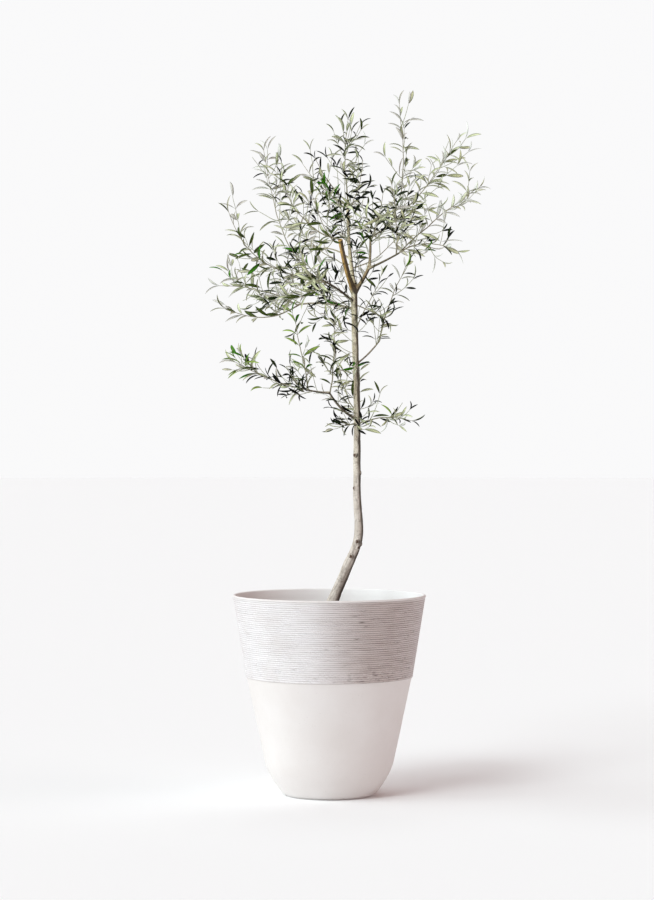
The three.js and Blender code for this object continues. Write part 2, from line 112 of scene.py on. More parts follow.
# Uneven surfaces, in layers of (size of the waves for each axis, seed, height). The soil's heights
# are shares of SOIL_BUMP.
BOWL_WAVES = [((60, 60, 90), 5, 0.25), ((14, 14, 10), 6, 0.07)]
SOIL_WAVES = [((24, 24, 24), 31, 0.7), ((7, 7, 7), 32, 0.5), ((2.8, 2.8, 2.8), 33, 0.45)]

# Ribs of the band: their grooves come and go, and are worn and chipped in the band's low part
RIB_PITCH = 3.4
RIB_DEPTH = 1.1
RIB_POINTS = 6
GROOVE_SHARE = 0.2
RIB_WOBBLE = 0.08
RIB_STRENGTH = 0.9
RIB_CHANGE = 0.26
LOW_PART = 44
LOW_PART_FADE = 34
LOW_RIB_LOSS = 0.2
CHIP_DEPTH = 0.9
CHIP_START = 0.4
CHIP_SHARE = 0.15

# Pits: small level hollows in the band, most of them low down. Each range is (least, most).
PIT_COUNT = 110
PIT_HALF_LENGTH = (1.2, 5.5)
PIT_HALF_HEIGHT = (0.5, 1.3)
PIT_DEPTH = (0.35, 1.1)
PIT_MARGIN = (3, 9)
PIT_LOW_POWER = 1.9
# the least painted shade in a pit, to which its depth adds
PIT_PAINTED_SHADE = 0.2

# Shades of the band: its grooves, chips and pits carry painted shade, which is weaker where light is
# painted on. Light is painted on the band's left front and, less of it, on its right; each such side is
# (its direction, the cosine of the turn from it at which it starts, the gain until it is full).
GROOVE_PAINTED_SHADE = 0.8
CHIP_PAINTED_SHADE = 0.7
PAINTED_LIGHT_GROOVE_LOSS = 0.55
PAINTED_LIGHT_PIT_LOSS = 0.7
PAINTED_LIGHT_SIDE = (-145, 0.17, 0.55)
PAINTED_FILL_SIDE = (12, 0.5, 0.4)
PAINTED_FILL_SHARE = 0.42
PAINTED_LIGHT_RAGGEDNESS = 0.05

# Soil: level round the trunk and sunk a little towards the pot's wall, with crumbs on it
SOIL_TOP = 290
SOIL_LEVEL_RADIUS = 110
SOIL_EDGE_DROP = 5
SOIL_BUMP = 2.2
SOIL_GAP = 0.4
SOIL_WALL_HEIGHTS = (WALL + 1, 30, CORNER_HEIGHT, 190)
SOIL_EDGE = 4
SOIL_CENTRE = 1.5
SOIL_RINGS = 70
SOIL_SIDES = 220
CRUMB_COUNT = 1500
CRUMB_SIZE = (0.7, 1.4)
CRUMB_GROWTH = (0.8, 1.9)
CRUMB_SHAPE = ((0.7, 1.7), (0.7, 1.2), (0.5, 0.9))
CRUMB_LUMPS = 0.25
CRUMB_SINK = 0.5
CRUMB_MARGIN = 4
PALE_CRUMBS = 0.3

# Trunk: leaning from the soil to a bend, then almost upright to the fork
TRUNK_COURSE = [
    (-14, 0, 276),
    (-8, 0, 290),
    (29, 0, 377),
    (47.5, 0, 424),
    (46, 0, 503),
    (46, 0, 640),
    (43, 0, 745),
    (41, 0, 847),
]
TRUNK_FORK_RADIUS = 5.4
TRUNK_FOOT_GAIN = 4.9
TRUNK_TAPER_POWER = 3
ROOT_FLARE = 7
ROOT_FLARE_HEIGHT = 11

# Knots: scars of pruned twigs, each as (height on the trunk, turn about it, size). A knot is a
# ball, sunk and a little taller than wide, with a dark ragged patch and a hollow about its heart.
# All but the stretch and the hollow's depth are shares of its size.
KNOT_SINK = 0.45
KNOT_STRETCH = 1.25
KNOT_HEART = 0.5
KNOT_PATCH = 0.72
KNOT_RAGGEDNESS = 0.3
KNOT_FADE = 0.3
KNOT_HOLLOW_WIDTH = 0.4
KNOT_HOLLOW_DEPTH = 0.9
KNOTS = [
    (397, 253, 4.4),
    (411, 300, 3),
    (417, 350, 3.4),
    (421, 264, 4.6),
    (510, 225, 4),
    (535, 350, 3.2),
    (565, 235, 4.4),
]

# Boughs, each as (its parent, where it leaves that, its tip, how far its middle is bowed off the
# straight line, its width at each end). A place on the trunk is a height, and a place on any other
# limb is a share of its length.
BOUGHS = {
    "bough_leader": ("trunk", 847, (31, 45, 991), (-3, 4, 0), (7, 5.4)),
    "bough_left_fork": ("trunk", 836, (18, -55, 919), (-2, 0, -2), (9.6, 7.6)),
    "bough_right_fork": ("trunk", 834, (66, -10, 876), (1, 0, -1), (7.4, 5.6)),
    "bough_right_upright": ("bough_right_fork", 1, (68, 15, 928), (1, 0, 0), (4.8, 3.8)),
    "bough_right_arm": ("bough_right_fork", 0.95, (115, -35, 898), (0, 0, -1), (4, 3)),
    "bough_crossing": ("bough_leader", 0.3, (-12, 34, 909), (0, 0, 6), (3, 2.4)),
    "bough_back": ("trunk", 786, (38, 105, 885), (0, 6, -8), (5, 3.4)),
    "bough_left_upper": ("trunk", 818, (-12, -45, 853), (0, 0, 3), (4.6, 3.2)),
    "bough_left_arm": ("trunk", 806, (-54, 35, 815), (0, 0, 6), (4.4, 3)),
    "bough_low_left": ("trunk", 624, (0, -20, 668), (-2, 0, -5), (5, 3.8)),
    "bough_low_left_arm": ("bough_low_left", 1, (-38, -32, 673), (0, 0, -1), (3.4, 2.8)),
    "bough_right_low": ("trunk", 715, (84, 45, 755), (0, 0, -3), (3.4, 2.6)),
}

# Bark of the boughs, as (share of olive, share of gold, share of painted shade). A bough takes on its own
# tone over the first TONE_RUN of its length. The olive is painted pale, with painted light in it, and the
# painted shade darkens the boughs that lie in the crown's shadow.
TONE_RUN = 12
BARK_TONES = {
    "bough_leader": (0.9, 0.1, 0),
    "bough_left_fork": (0.5, 0.9, 0),
    "bough_right_fork": (0.6, 0.55, 0.35),
    "bough_right_upright": (0.7, 0.3, 0.45),
    "bough_right_arm": (0.5, 0.1, 0.92),
    "bough_crossing": (0.8, 0, 0.3),
    "bough_back": (0.8, 0, 0.3),
    "bough_left_upper": (0.6, 0, 0.4),
    "bough_left_arm": (0.5, 0, 0.4),
    "bough_low_left": (0.3, 0, 0.4),
    "bough_low_left_arm": (0.3, 0, 0.5),
    "bough_right_low": (0.6, 0, 0.3),
}

# The trunk turns olive from OLIVE_AND_PAINTED_LIGHT_START to its top, an olive painted pale enough to
# carry painted light against the crown's shadow. It has painted shade on its shaded side, which lies
# elsewhere below and above PAINTED_SHADE_CHANGE: (its direction, how far a face has to turn that way
# before it darkens, how much farther until it is dark). The boughs darken a little later.
OLIVE_AND_PAINTED_LIGHT_START = 500
LOW_PAINTED_SHADE = ((0.94, 0.34, 0), -0.2, 0.7)
HIGH_PAINTED_SHADE = ((0.8, 0, -0.6), 0.02, 0.34)
PAINTED_SHADE_CHANGE = (525, 575)
PAINTED_SHADE_DARKNESS = 0.94
PAINTED_SHADE_RAGGEDNESS = 0.2
BOUGH_PAINTED_SHADE = -0.02

# Relief of the bark, with the size of each pattern across and along a limb. A limb with a radius of
# THICK_LIMB or more has all of it, and a thinner one less. LIMB_SHIFT keeps the patterns of two
# limbs apart.
FISSURE_SIZE = (3.2, 3.2, 20)
FISSURE_START = 0.72
FISSURE_POWER = 1.5
FISSURE_DEPTH = 0.5
FISSURE_SHADE = 0.7
WRINKLE_SIZE = (10, 10, 1.7)
WRINKLE_START = 0.25
WRINKLE_DEPTH = 0.3
WRINKLE_SHADE = 0.6
LUMP_SIZE = (9, 9, 24)
LUMP_HEIGHT = 0.5
GRAIN_SIZE = (1.3, 1.3, 4)
GRAIN_HEIGHT = 0.16
GROOVE_SHADE = 0.7
THICK_LIMB = 10
LEAST_RELIEF = 0.18
LIMB_SHIFT = 500

# Mesh of the bark: the limbs' tubes, swollen where a bough leaves its parent, are fused into one
# skin of small faces
TRUNK_SIDES = 32
BOUGH_SIDES = 14
LIMB_STEP = 3
COLLAR_SWELLING = 0.45
COLLAR_LENGTH = 9
BARK_FACE = 0.77
BARK_SMOOTHING = 3

# Foliage masses. Each has one stem, placed as a bough is, and the rest of its row is the share of
# the stem that is bare, the number of its side shoots, how long they get, the side on which the
# first one leaves, and the seed that it all grows by.
Mass = namedtuple("Mass", "on at to bow bare shoots reach turn seed")
MASSES = {
    "mass_leader": ("bough_leader", 1, (31, 40, 1121), (-5, 4, 0), 0.06, 4, 44, 0, 11),
    "mass_top_left": ("bough_leader", 0.93, (-43, 95, 1052), (0, 0, -9), 0.15, 3, 46, 40, 12),
    "mass_top_left_high": ("bough_leader", 0.97, (-22, -20, 1051), (-2, 0, -4), 0.15, 2, 36, 180, 13),
    "mass_tall_left": ("bough_left_upper", 1, (-109, 20, 1070), (-11, 0, -38), 0.16, 3, 34, 180, 14),
    "mass_upper_left": ("bough_left_fork", 1, (-75, -100, 1006), (-11, 0, -14), 0.12, 3, 52, 0, 15),
    "mass_far_left": ("bough_left_upper", 0.96, (-163, -90, 959), (-21, 0, -23), 0.14, 4, 46, 0, 16),
    "mass_left_arm": ("bough_left_arm", 1, (-180, 55, 847), (0, 0, 9), 0.1, 4, 52, 180, 17),
    "mass_left_drooping": ("bough_left_arm", 0.95, (-167, -30, 806), (0, 0, -17), 0.14, 3, 38, 180, 18),
    "mass_tall_right": ("bough_right_upright", 1, (116, 25, 1147), (26, 0, -42), 0.16, 3, 40, 180, 19),
    "mass_upper_right": ("bough_right_upright", 0.93, (207, -75, 1076), (7, 0, -10), 0.14, 4, 48, 0, 20),
    "mass_far_right": ("bough_right_arm", 1, (250, 60, 1011), (-4, 0, 2), 0.16, 3, 36, 180, 21),
    "mass_right_arm": ("bough_right_arm", 0.95, (206, -70, 901), (0, 0, 14), 0.14, 3, 46, 0, 22),
    "mass_right_upright": ("bough_right_arm", 0.9, (102, -100, 1001), (3, 0, 0), 0.2, 2, 44, 90, 23),
    "mass_low_left": ("bough_low_left_arm", 1, (-149, -75, 715), (0, 0, -5), 0.05, 6, 34, 180, 24),
    "mass_low_left_upright": ("bough_low_left_arm", 0.92, (-60, 20, 799), (1, 0, 0), 0.12, 0, 20, 0, 25),
    "mass_beside_trunk": ("bough_low_left", 0.97, (6, -55, 814), (5, -5, 0), 0.1, 2, 40, 0, 26),
    "mass_behind_trunk": ("trunk", 624, (50, 85, 722), (3, 12, -4), 0.2, 2, 34, 180, 27),
    "mass_low_sprig": ("trunk", 618, (12, -32, 616), (0, 0, -2), 0.3, 2, 20, 180, 28),
    "mass_low_inner": ("trunk", 636, (17, 42, 705), (-3, 3, -4), 0.14, 2, 36, 0, 44),
    "mass_low_right": ("trunk", 616, (133, -45, 622), (0, 0, 7), 0.2, 2, 34, 0, 29),
    "mass_right_lower": ("bough_right_low", 1, (138, 80, 896), (-7, 0, 0), 0.14, 3, 36, 0, 30),
    "mass_right_sprig": ("trunk", 762, (79, -45, 843), (-2, -5, 3), 0.55, 1, 20, 0, 31),
    "mass_right_twig": ("trunk", 814, (94, -15, 787), (0, 0, 3), 0.35, 1, 22, 0, 32),
    "mass_trunk_sprig": ("trunk", 700, (46, -32, 728), (0, -4, 0), 0.5, 0, 15, 0, 33),
    "mass_front_left": ("bough_left_fork", 0.94, (-25, -185, 980), (0, -8, -20), 0.14, 3, 50, 0, 34),
    "mass_front_top": ("bough_leader", 0.89, (55, -100, 1040), (0, -10, -16), 0.18, 2, 44, 90, 35),
    "mass_front_right": ("bough_right_upright", 0.86, (86, -160, 984), (0, -8, -12), 0.16, 4, 48, 180, 36),
    "mass_front_low": ("bough_left_upper", 0.93, (-42, -188, 872), (0, -8, -10), 0.14, 3, 48, 180, 37),
    "mass_back_left": ("bough_back", 1, (-65, 195, 965), (0, 10, -15), 0.1, 3, 52, 0, 38),
    "mass_back_right": ("bough_back", 0.95, (135, 190, 960), (0, 10, -15), 0.1, 3, 52, 180, 39),
    "mass_back_top": ("bough_back", 0.9, (25, 150, 1040), (0, 10, -10), 0.2, 3, 46, 0, 40),
    "mass_back_low": ("bough_left_arm", 0.89, (-95, 165, 868), (0, 8, -10), 0.14, 3, 46, 0, 41),
    "mass_crossing": ("bough_crossing", 1, (-50, 75, 915), (0, 0, 3), 0.05, 2, 44, 0, 42),
    "mass_left_middle": ("bough_left_upper", 0.86, (-62, -88, 824), (0, -4, -8), 0.1, 3, 40, 0, 43),
}

# Sprigs: single leafy twigs on the trunk, the boughs and the masses' stems, each as (where it grows, how
# far along that, its tip's x, y and z). The deep ones are dark, with near-black leaves that are partly
# painted shade in the crown, and the fresh ones are this year's. Each grows by its list's seed plus its
# place in the list.
SPRIGS = [
    ("bough_leader", 0.3, 60, -25, 925), ("bough_leader", 0.5, 4, -25, 968),
    ("bough_leader", 0.7, -2, 10, 1002), ("bough_leader", 0.9, 62, 20, 1005),
    ("bough_left_fork", 0.8, 40, -80, 955), ("bough_right_upright", 0.4, 42, -12, 965),
    ("trunk", 812, 16, -35, 858), ("trunk", 800, 0, -30, 848),
    ("trunk", 790, -12, -20, 832), ("trunk", 768, -20, -25, 802),
    ("trunk", 764, 72, -24, 800), ("trunk", 750, 0, -28, 790),
    ("trunk", 733, 8, -30, 752), ("trunk", 684, 14, -30, 718),
    ("trunk", 655, 16, -30, 690), ("bough_left_arm", 0.4, -18, -8, 788),
    ("bough_left_upper", 0.6, -14, -22, 842), ("bough_right_low", 0.85, 72, 28, 802),
    ("bough_low_left_arm", 0.5, -32, -52, 712), ("bough_low_left_arm", 0.7, -46, -62, 672),
    ("bough_low_left_arm", 0.8, -60, -44, 708), ("bough_low_left_arm", 0.95, -66, -36, 702),
    ("bough_low_left_arm", 0.9, -72, -20, 690), ("mass_low_left", 0.15, -68, -60, 664),
    ("trunk", 636, 8, -32, 642), ("trunk", 630, 24, -38, 660),
    ("trunk", 624, 66, -35, 642), ("trunk", 612, 62, -28, 610),
    ("mass_low_right", 0.6, 118, -42, 648), ("mass_left_arm", 0.45, -120, 30, 872),
    ("mass_left_arm", 0.65, -150, 35, 882), ("mass_far_left", 0.4, -118, -62, 866),
    ("mass_far_left", 0.55, -160, -82, 892), ("mass_left_middle", 0.5, -86, -72, 818),
    ("mass_tall_left", 0.68, -76, 10, 1030), ("mass_tall_left", 0.8, -84, 25, 1058),
    ("mass_tall_left", 0.82, -126, 14, 1056), ("mass_leader", 0.6, 50, 36, 1112),
    ("mass_tall_right", 0.55, 134, 20, 1036), ("mass_tall_right", 0.84, 130, 22, 1142),
    ("mass_upper_right", 0.3, 130, -34, 1002), ("mass_upper_right", 0.6, 205, -62, 1036),
    ("mass_upper_right", 0.75, 222, -70, 1058), ("mass_leader", 0.5, 10, 44, 1098),
    ("mass_far_right", 0.6, 240, 52, 1000), ("mass_left_arm", 0.3, -112, 20, 806),
    ("mass_left_drooping", 0.3, -112, 0, 828), ("mass_far_left", 0.25, -72, -60, 900),
    ("mass_tall_left", 0.6, -66, 24, 1012), ("mass_tall_left", 0.45, -58, 6, 980),
    ("mass_beside_trunk", 0.6, -4, -54, 754), ("mass_tall_left", 0.5, -80, 12, 1044),
    ("mass_upper_left", 0.5, -44, -70, 988), ("bough_leader", 0.4, 16, -30, 988),
    ("mass_tall_right", 0.3, 136, -4, 1034), ("bough_right_upright", 0.9, 86, -10, 962),
    ("bough_right_arm", 0.95, 140, -30, 920), ("mass_right_arm", 0.15, 150, -48, 900),
    ("mass_upper_right", 0.55, 188, -58, 1048), ("mass_far_right", 0.85, 236, 56, 1034),
    ("bough_left_arm", 0.8, -56, 8, 772), ("mass_beside_trunk", 0.25, 8, -44, 732),
    ("mass_low_left_upright", 0.3, -48, 8, 712), ("bough_low_left", 0.6, 14, -40, 686),
    ("mass_low_right", 0.7, 128, -48, 636), ("trunk", 606, 52, -30, 620),
    ("mass_right_arm", 0.7, 188, -66, 940), ("mass_left_arm", 0.8, -164, 60, 874),
    ("mass_left_middle", 0.8, -100, -84, 822), ("mass_upper_right", 0.2, 134, -40, 972),
    ("mass_tall_left", 0.6, -86, 14, 1052), ("mass_low_right", 0.5, 114, -46, 628),
    ("bough_left_upper", 0.2, -16, -30, 838), ("mass_right_upright", 0.4, 140, -60, 942),
    ("mass_right_upright", 0.35, 86, -60, 952), ("bough_left_upper", 0.9, -58, -60, 868),
    ("bough_left_upper", 0.7, -52, -50, 882), ("mass_left_arm", 0.4, -122, 40, 818),
    ("mass_left_arm", 0.55, -140, 42, 824), ("bough_right_fork", 0.3, 68, -24, 862),
    ("mass_right_twig", 0.5, 94, -14, 808), ("trunk", 792, 68, -20, 804),
    ("bough_low_left_arm", 0.9, -70, -44, 706), ("mass_low_left_upright", 0.1, -60, -12, 714),
    ("mass_low_left", 0.75, -140, -72, 724), ("mass_far_left", 0.75, -156, -76, 984),
    ("mass_left_arm", 0.7, -174, 44, 868), ("bough_right_upright", 0.7, 94, -26, 942),
    ("mass_far_left", 0.1, -70, -64, 862), ("mass_upper_left", 0.3, -64, -50, 950),
    ("mass_leader", 0.65, 50, 30, 1102), ("mass_leader", 0.2, 45, 0, 1052),
    ("mass_beside_trunk", 0.2, -10, -50, 722), ("mass_right_arm", 0.25, 154, -50, 914),
    ("mass_right_arm", 0.72, 192, -60, 916), ("trunk", 616, 18, -36, 622),
    ("mass_tall_left", 0.85, -104, 30, 1068), ("trunk", 800, -10, -34, 836),
    ("mass_tall_right", 0.05, 130, -16, 950), ("mass_leader", 0.65, 34, 30, 1106),
    ("mass_upper_right", 0.85, 220, -78, 1078), ("mass_tall_left", 0.4, -62, -4, 984),
    ("bough_leader", 0.8, -10, -20, 992), ("mass_far_left", 0.35, -138, -70, 914),
    ("mass_right_sprig", 0.9, 82, -50, 852), ("mass_upper_right", 0.4, 172, -46, 1000),
    ("mass_tall_right", 0.45, 128, 8, 1058), ("bough_right_upright", 0.9, 72, -8, 984),
    ("trunk", 812, 0, -34, 864), ("bough_left_upper", 0.95, -62, -56, 862),
    ("mass_left_arm", 0.6, -164, 40, 866), ("trunk", 772, 50, -34, 806),
    ("trunk", 726, 8, -34, 746), ("mass_low_left_upright", 0.45, -42, -4, 736),
    ("bough_right_low", 0.85, 86, 12, 806), ("bough_left_upper", 1, -46, -50, 892),
]
DEEP_PAINTED_SHADE_SPRIGS = [
    ("bough_leader", 0.62, 12, -34, 990), ("bough_leader", 0.75, -2, -18, 976),
    ("mass_leader", 0.15, 54, 22, 1038), ("mass_leader", 0.22, 46, 4, 1056),
    ("mass_upper_right", 0.25, 132, -32, 954), ("mass_tall_right", 0.1, 124, -8, 966),
    ("trunk", 806, -14, -34, 844), ("bough_left_upper", 0.5, -24, -54, 840),
    ("mass_left_middle", 0.9, -92, -84, 828), ("mass_low_left", 0.2, -84, -42, 702),
    ("mass_low_left", 0.3, -94, -70, 688), ("trunk", 628, 19, -36, 626),
    ("bough_right_low", 0.95, 94, 40, 796), ("mass_right_lower", 0.1, 74, 46, 782),
    ("mass_far_left", 0.12, -60, -70, 904), ("bough_left_upper", 1, -52, -66, 894),
    ("bough_right_fork", 0.6, 46, -22, 904), ("bough_left_upper", 0.3, -6, -38, 850),
    ("trunk", 796, -16, -38, 836), ("mass_right_sprig", 0.8, 94, -40, 854),
    ("bough_right_upright", 0.95, 90, -30, 950), ("trunk", 815, -20, -30, 826),
    ("bough_right_upright", 0.9, 92, -30, 926), ("mass_top_left", 0.3, -16, 20, 1014),
    ("bough_leader", 0.6, -24, -24, 974), ("mass_leader", 0.25, 52, 10, 1048),
    ("mass_leader", 0.05, 60, 10, 1006), ("bough_right_upright", 0.8, 100, -20, 948),
    ("mass_right_upright", 0.5, 136, -72, 964), ("bough_right_fork", 0.4, 46, -30, 898),
    ("trunk", 826, 12, -34, 880), ("mass_right_twig", 0.8, 100, -22, 798),
    ("mass_low_left", 0.1, -68, -52, 708), ("bough_low_left_arm", 1, -56, -48, 692),
    ("mass_low_left", 0.5, -118, -60, 716), ("mass_low_left", 0.3, -92, -70, 688),
    ("mass_far_left", 0.3, -90, -60, 896), ("mass_right_upright", 0.3, 136, -66, 938),
    ("mass_tall_right", 0.25, 140, -4, 1012), ("mass_low_left", 0.6, -128, -62, 710),
    ("bough_right_fork", 0.2, 40, -30, 900), ("bough_right_low", 0.9, 92, 30, 792),
    ("bough_leader", 0.5, -40, -20, 984), ("bough_low_left_arm", 0.8, -58, -60, 664),
    ("bough_right_upright", 0.85, 92, -20, 938), ("bough_left_upper", 0.9, -54, -60, 868),
    ("bough_leader", 0.55, -18, -30, 950), ("mass_tall_right", 0.02, 128, -24, 944),
]
FRESH_SPRIGS = [
    ("mass_low_left", 0.6, -136, -72, 720), ("mass_low_left", 0.75, -148, -60, 726),
    ("bough_leader", 0.8, -6, -34, 1008), ("trunk", 808, -10, -40, 826),
    ("trunk", 708, 42, -30, 728), ("bough_right_upright", 0.3, 56, -22, 932),
    ("mass_far_left", 0.5, -132, -84, 888), ("mass_low_left", 0.9, -144, -84, 732),
    ("mass_low_left", 0.8, -150, -74, 720),
]
SPRIG_BARE = 0.15
SPRIG_RISE = 3
SPRIG_SEED = 200
DEEP_SEED = 287
FRESH_SEED = 324

# Shoots: how they leave a stem, as in the solids
STEM_RADIUS = 1.25
SHOOT_RADIUS = 0.7
TIP_RADIUS = 0.4
SHOOT_POINTS = 12
FIRST_SHOOT = 0.2
LAST_SHOOT = 0.86
SHOOT_BARE = 0.12
SHOOT_ANGLE = 48
SHOOT_ANGLE_SPREAD = 7
SHOOT_TURN_SPREAD = 30
SHOOT_RISE = 0.18
SHOOT_SAG = 0.4
LOW_SHOOT_SCALE = 1.1
TOP_SHOOT_SCALE = 0.7
SHOOT_SCALE_RANGE = (0.8, 1.15)

# Finer growth: short twigs on the shoots and stems, and the small bends of every twig. A twig's
# tones are those of its skin and its flecks.
TIP_GAIN = 5
TWIG_RADIUS = 0.55
TWIG_SPACING = 120
TWIG_REACH = (12, 24)
TWIG_BARE = 0.3
LAST_TWIG = 0.9
TWIG_TURN = 137
TWIG_STEP = 5
TWIG_SIDES = 6
TWIG_BEND = 1.3
TWIG_BEND_SIZE = 24
TWIG_TONES = {
    "twigs_brown": ((172, 168, 144), (122, 114, 90)),
    "twigs_green": ((176, 180, 150), (132, 134, 104)),
}

# Leaves: slim blades in opposite pairs, each pair turned from the one below it. The low pairs
# stand off the twig and the top ones point along it.
LEAF_LENGTH = 33
LEAF_WIDTH_SHARE = (0.175, 0.235)
LEAF_THICKNESS = 0.4
LEAF_STATIONS = (0, 0.09, 0.17, 0.29, 0.43, 0.58, 0.73, 0.86, 1)
STALK_SHARE = 0.09
STALK_WIDTH = 0.55
BLADE_FILL = 3.24
BLADE_FOOT_POWER = 0.8
BLADE_TIP_POWER = 0.9
LEAF_BEND = (24, 58)
LEAF_FOLD = (18, 42)
LEAF_TWIST = 14
PAIR_SPACING = 21.5
TOP_PAIR = 0.985
LOW_LEAF_ANGLE = 64
TOP_LEAF_ANGLE = 30
LEAF_ANGLE_POWER = 2.5
LEAF_ANGLE_SPREAD = 10
LEAF_TURN_SPREAD = 14
FIRST_PAIR_SPREAD = 25
LEAF_ROLL_SPREAD = 48
PAIR_TURN = 62
LOW_LEAF_SCALE = 1.05
TOP_LEAF_SCALE = 0.88
LEAF_SCALE_RANGE = (0.74, 1.14)
INNER_LEAF_SCALE = 0.86
LEVELLING = 0.6
LEAF_LOSS = 0.15
LEAF_CLEARANCE = 1.5
CLEAR_SHARES = (0.35, 0.6, 0.85, 1)
SHARP_EDGE = 60

# Leaf tones, dealt out by spray: (share of the outer sprays, share of the inner ones, size, upper side,
# underside). A spray is an inner one near the trunk's line up to INNER_TOP, and an outer one CROWN_DEPTH
# away from there. The deep tone, mostly inner, is partly the dark green of older leaves and partly painted
# shade of the crown's inside. The pale tone, mostly outer, is partly the leaves' silvery tone and partly
# painted light of the crown's lit outside. A blade is mottled, with painted shade at its stalk and margin.
CROWN_DEPTH = 170
INNER_TOP = 960
LEAF_GLOSS = 0.12
MOTTLE_SHADE = 1.35
STALK_PAINTED_SHADE = 0.5
MARGIN_PAINTED_SHADE = 0.18
UPPER_ROUGHNESS = 0.42
UNDER_ROUGHNESS = 0.7
LEAF_TONES = {
    "leaves_sage": (0.31, 0.17, 0.96, (74, 90, 36), (234, 239, 206)),
    "leaves_grey": (0.2, 0.18, 0.92, (30, 43, 13), (196, 204, 168)),
    "leaves_deep": (0.04, 0.47, 0.8, (3, 9, 1), (36, 52, 18)),
    "leaves_pale": (0.42, 0.12, 0.98, (218, 225, 184), (250, 252, 240)),
    "leaves_fresh": (0.03, 0.06, 1.05, (70, 136, 22), (164, 196, 94)),
}

# Openings: where the photograph shows sky between the leaves or the bare limbs, each as (x,
# height, radius). Nothing grows into one.
OPENINGS = [
    (82, 915, 18), (1, 1034, 12), (-142, 1060, 24), (217, 927, 14), (-176, 836, 15), (-182, 862, 10),
    (-140, 758, 14), (-107, 788, 13), (-15, 767, 11), (-73, 722, 10), (-107, 709, 11), (43, 739, 13),
    (-107, 963, 11), (-96, 924, 11), (-12, 946, 10), (71, 769, 10), (92, 598, 14), (-42, 1068, 11),
    (-50, 1038, 11), (59, 1066, 11), (8, 1118, 10), (200, 1096, 10), (22, 906, 11), (30, 884, 10),
    (43, 838, 13), (43, 814, 11), (-166, 948, 11), (-50, 1012, 12), (109, 1030, 13), (98, 892, 11),
    (130, 876, 9), (-90, 968, 11), (-66, 922, 10), (-15, 692, 10), (126, 664, 10), (56, 639, 9),
    (-156, 814, 10), (-125, 770, 12), (10, 1020, 9), (59, 1054, 10), (-148, 902, 10), (18, 827, 9),
    (-34, 658, 9), (-73, 1060, 10), (-65, 1030, 9), (-132, 739, 9), (-181, 709, 9), (51, 1134, 9),
    (94, 817, 8), (26, 1003, 8), (26, 1022, 8), (12, 824, 7), (102, 872, 8), (54, 838, 8),
    (158, 976, 8), (116, 880, 7), (-14, 744, 9), (-8, 902, 7), (4, 951, 7), (-172, 713, 5),
    (-135, 689, 6), (81, 884, 7), (38, 978, 7), (-40, 1004, 7), (-65, 1021, 7), (160, 932, 7),
    (-132, 886, 8), (70, 932, 5), (97, 935, 5), (-85, 867, 7), (22, 838, 6), (-30, 1014, 9),
    (-29, 872, 8), (-107, 847, 9), (-54, 803, 8), (-178, 897, 9), (-166, 748, 9), (-178, 722, 8),
    (-132, 681, 9), (-82, 722, 9), (18, 652, 8),
]


def spread_light(channel):
    """One channel of a screen colour, from 0 to 255, as the share of light that it reflects"""
    value = channel / 255
    if value <= 0.04045:
        return value / 12.92
    return ((value + 0.055) / 1.055) ** 2.4


def color(red, green, blue):
    return (spread_light(red), spread_light(green), spread_light(blue), 1)


class Stream:
    """A repeatable stream of numbers from 0 to 1, the one that the solids grow by"""

    def __init__(self, seed):
        self.state = seed * 7919

    def number(self):
        self.state = (self.state * 1664525 + 1013904223) % 2**32
        return self.state / 2**32

    def within(self, limits):
        return mix(*limits, self.number())

    def either_way(self, spread):
        return spread * (2 * self.number() - 1)


def mix(low, high, share):
    return low + (high - low) * share


def unit(vectors):
    return vectors / np.linalg.norm(vectors, axis=-1, keepdims=True)


def cell_value(cells, seed):
    """A repeatable number from 0 to 1 for each cell of a lattice"""
    mixed = cells @ np.array([73856093, 19349663, 83492791]) + seed * 2654435761
    mixed = mixed & 0xFFFFFFFF
    mixed = ((mixed ^ (mixed >> 15)) * 739982445) & 0xFFFFFFFF
    mixed = ((mixed ^ (mixed >> 12)) * 695872825) & 0xFFFFFFFF
    return (mixed ^ (mixed >> 15)) / 0xFFFFFFFF


def noise(points, size, seed):
    """Smooth noise from -1 to 1 at each point. size is the width of its blobs, for each axis."""
    place = points / np.asarray(size, float)
    cell = np.floor(place).astype(np.int64)
    part = place - cell
    part = part * part * (3 - 2 * part)
    total = np.zeros(len(points))
    for corner in itertools.product((0, 1), repeat=3):
        weight = np.prod(np.where(corner, part, 1 - part), axis=1)
        total += weight * cell_value(cell + corner, seed)
    return 2 * total - 1


def waves(points, layers):
    return sum(noise(points, size, seed) * height for size, seed, height in layers)


# Meshes


def make_object(name, vertices, faces, looks, face_looks=None):
    """An object from points in millimetres and faces, with a look for each face"""
    mesh = bpy.data.meshes.new(name)
    mesh.from_pydata((np.asarray(vertices) * MM).tolist(), [], faces)
    for look in looks:
        mesh.materials.append(look)
    if face_looks is not None:
        mesh.polygons.foreach_set("material_index", np.asarray(face_looks, np.int32))
    mesh.shade_smooth()
    made = bpy.data.objects.new(name, mesh)
    bpy.context.scene.collection.objects.link(made)
    return made


def keep_value(made, name, values):
    """Stores one number for each point, which a look can read"""
    attribute = made.data.attributes.new(name, "FLOAT", "POINT")
    attribute.data.foreach_set("value", np.asarray(values, np.float32))


def points_of(made):
    flat = np.zeros(len(made.data.vertices) * 3, np.float32)
    made.data.vertices.foreach_get("co", flat)
    return flat.reshape(-1, 3).astype(float) / MM


def normals_of(made):
    flat = np.zeros(len(made.data.vertices) * 3, np.float32)
    made.data.vertex_normals.foreach_get("vector", flat)
    return flat.reshape(-1, 3).astype(float)


def move_points(made, points):
    made.data.vertices.foreach_set("co", (points * MM).astype(np.float32).ravel())
    made.data.update()


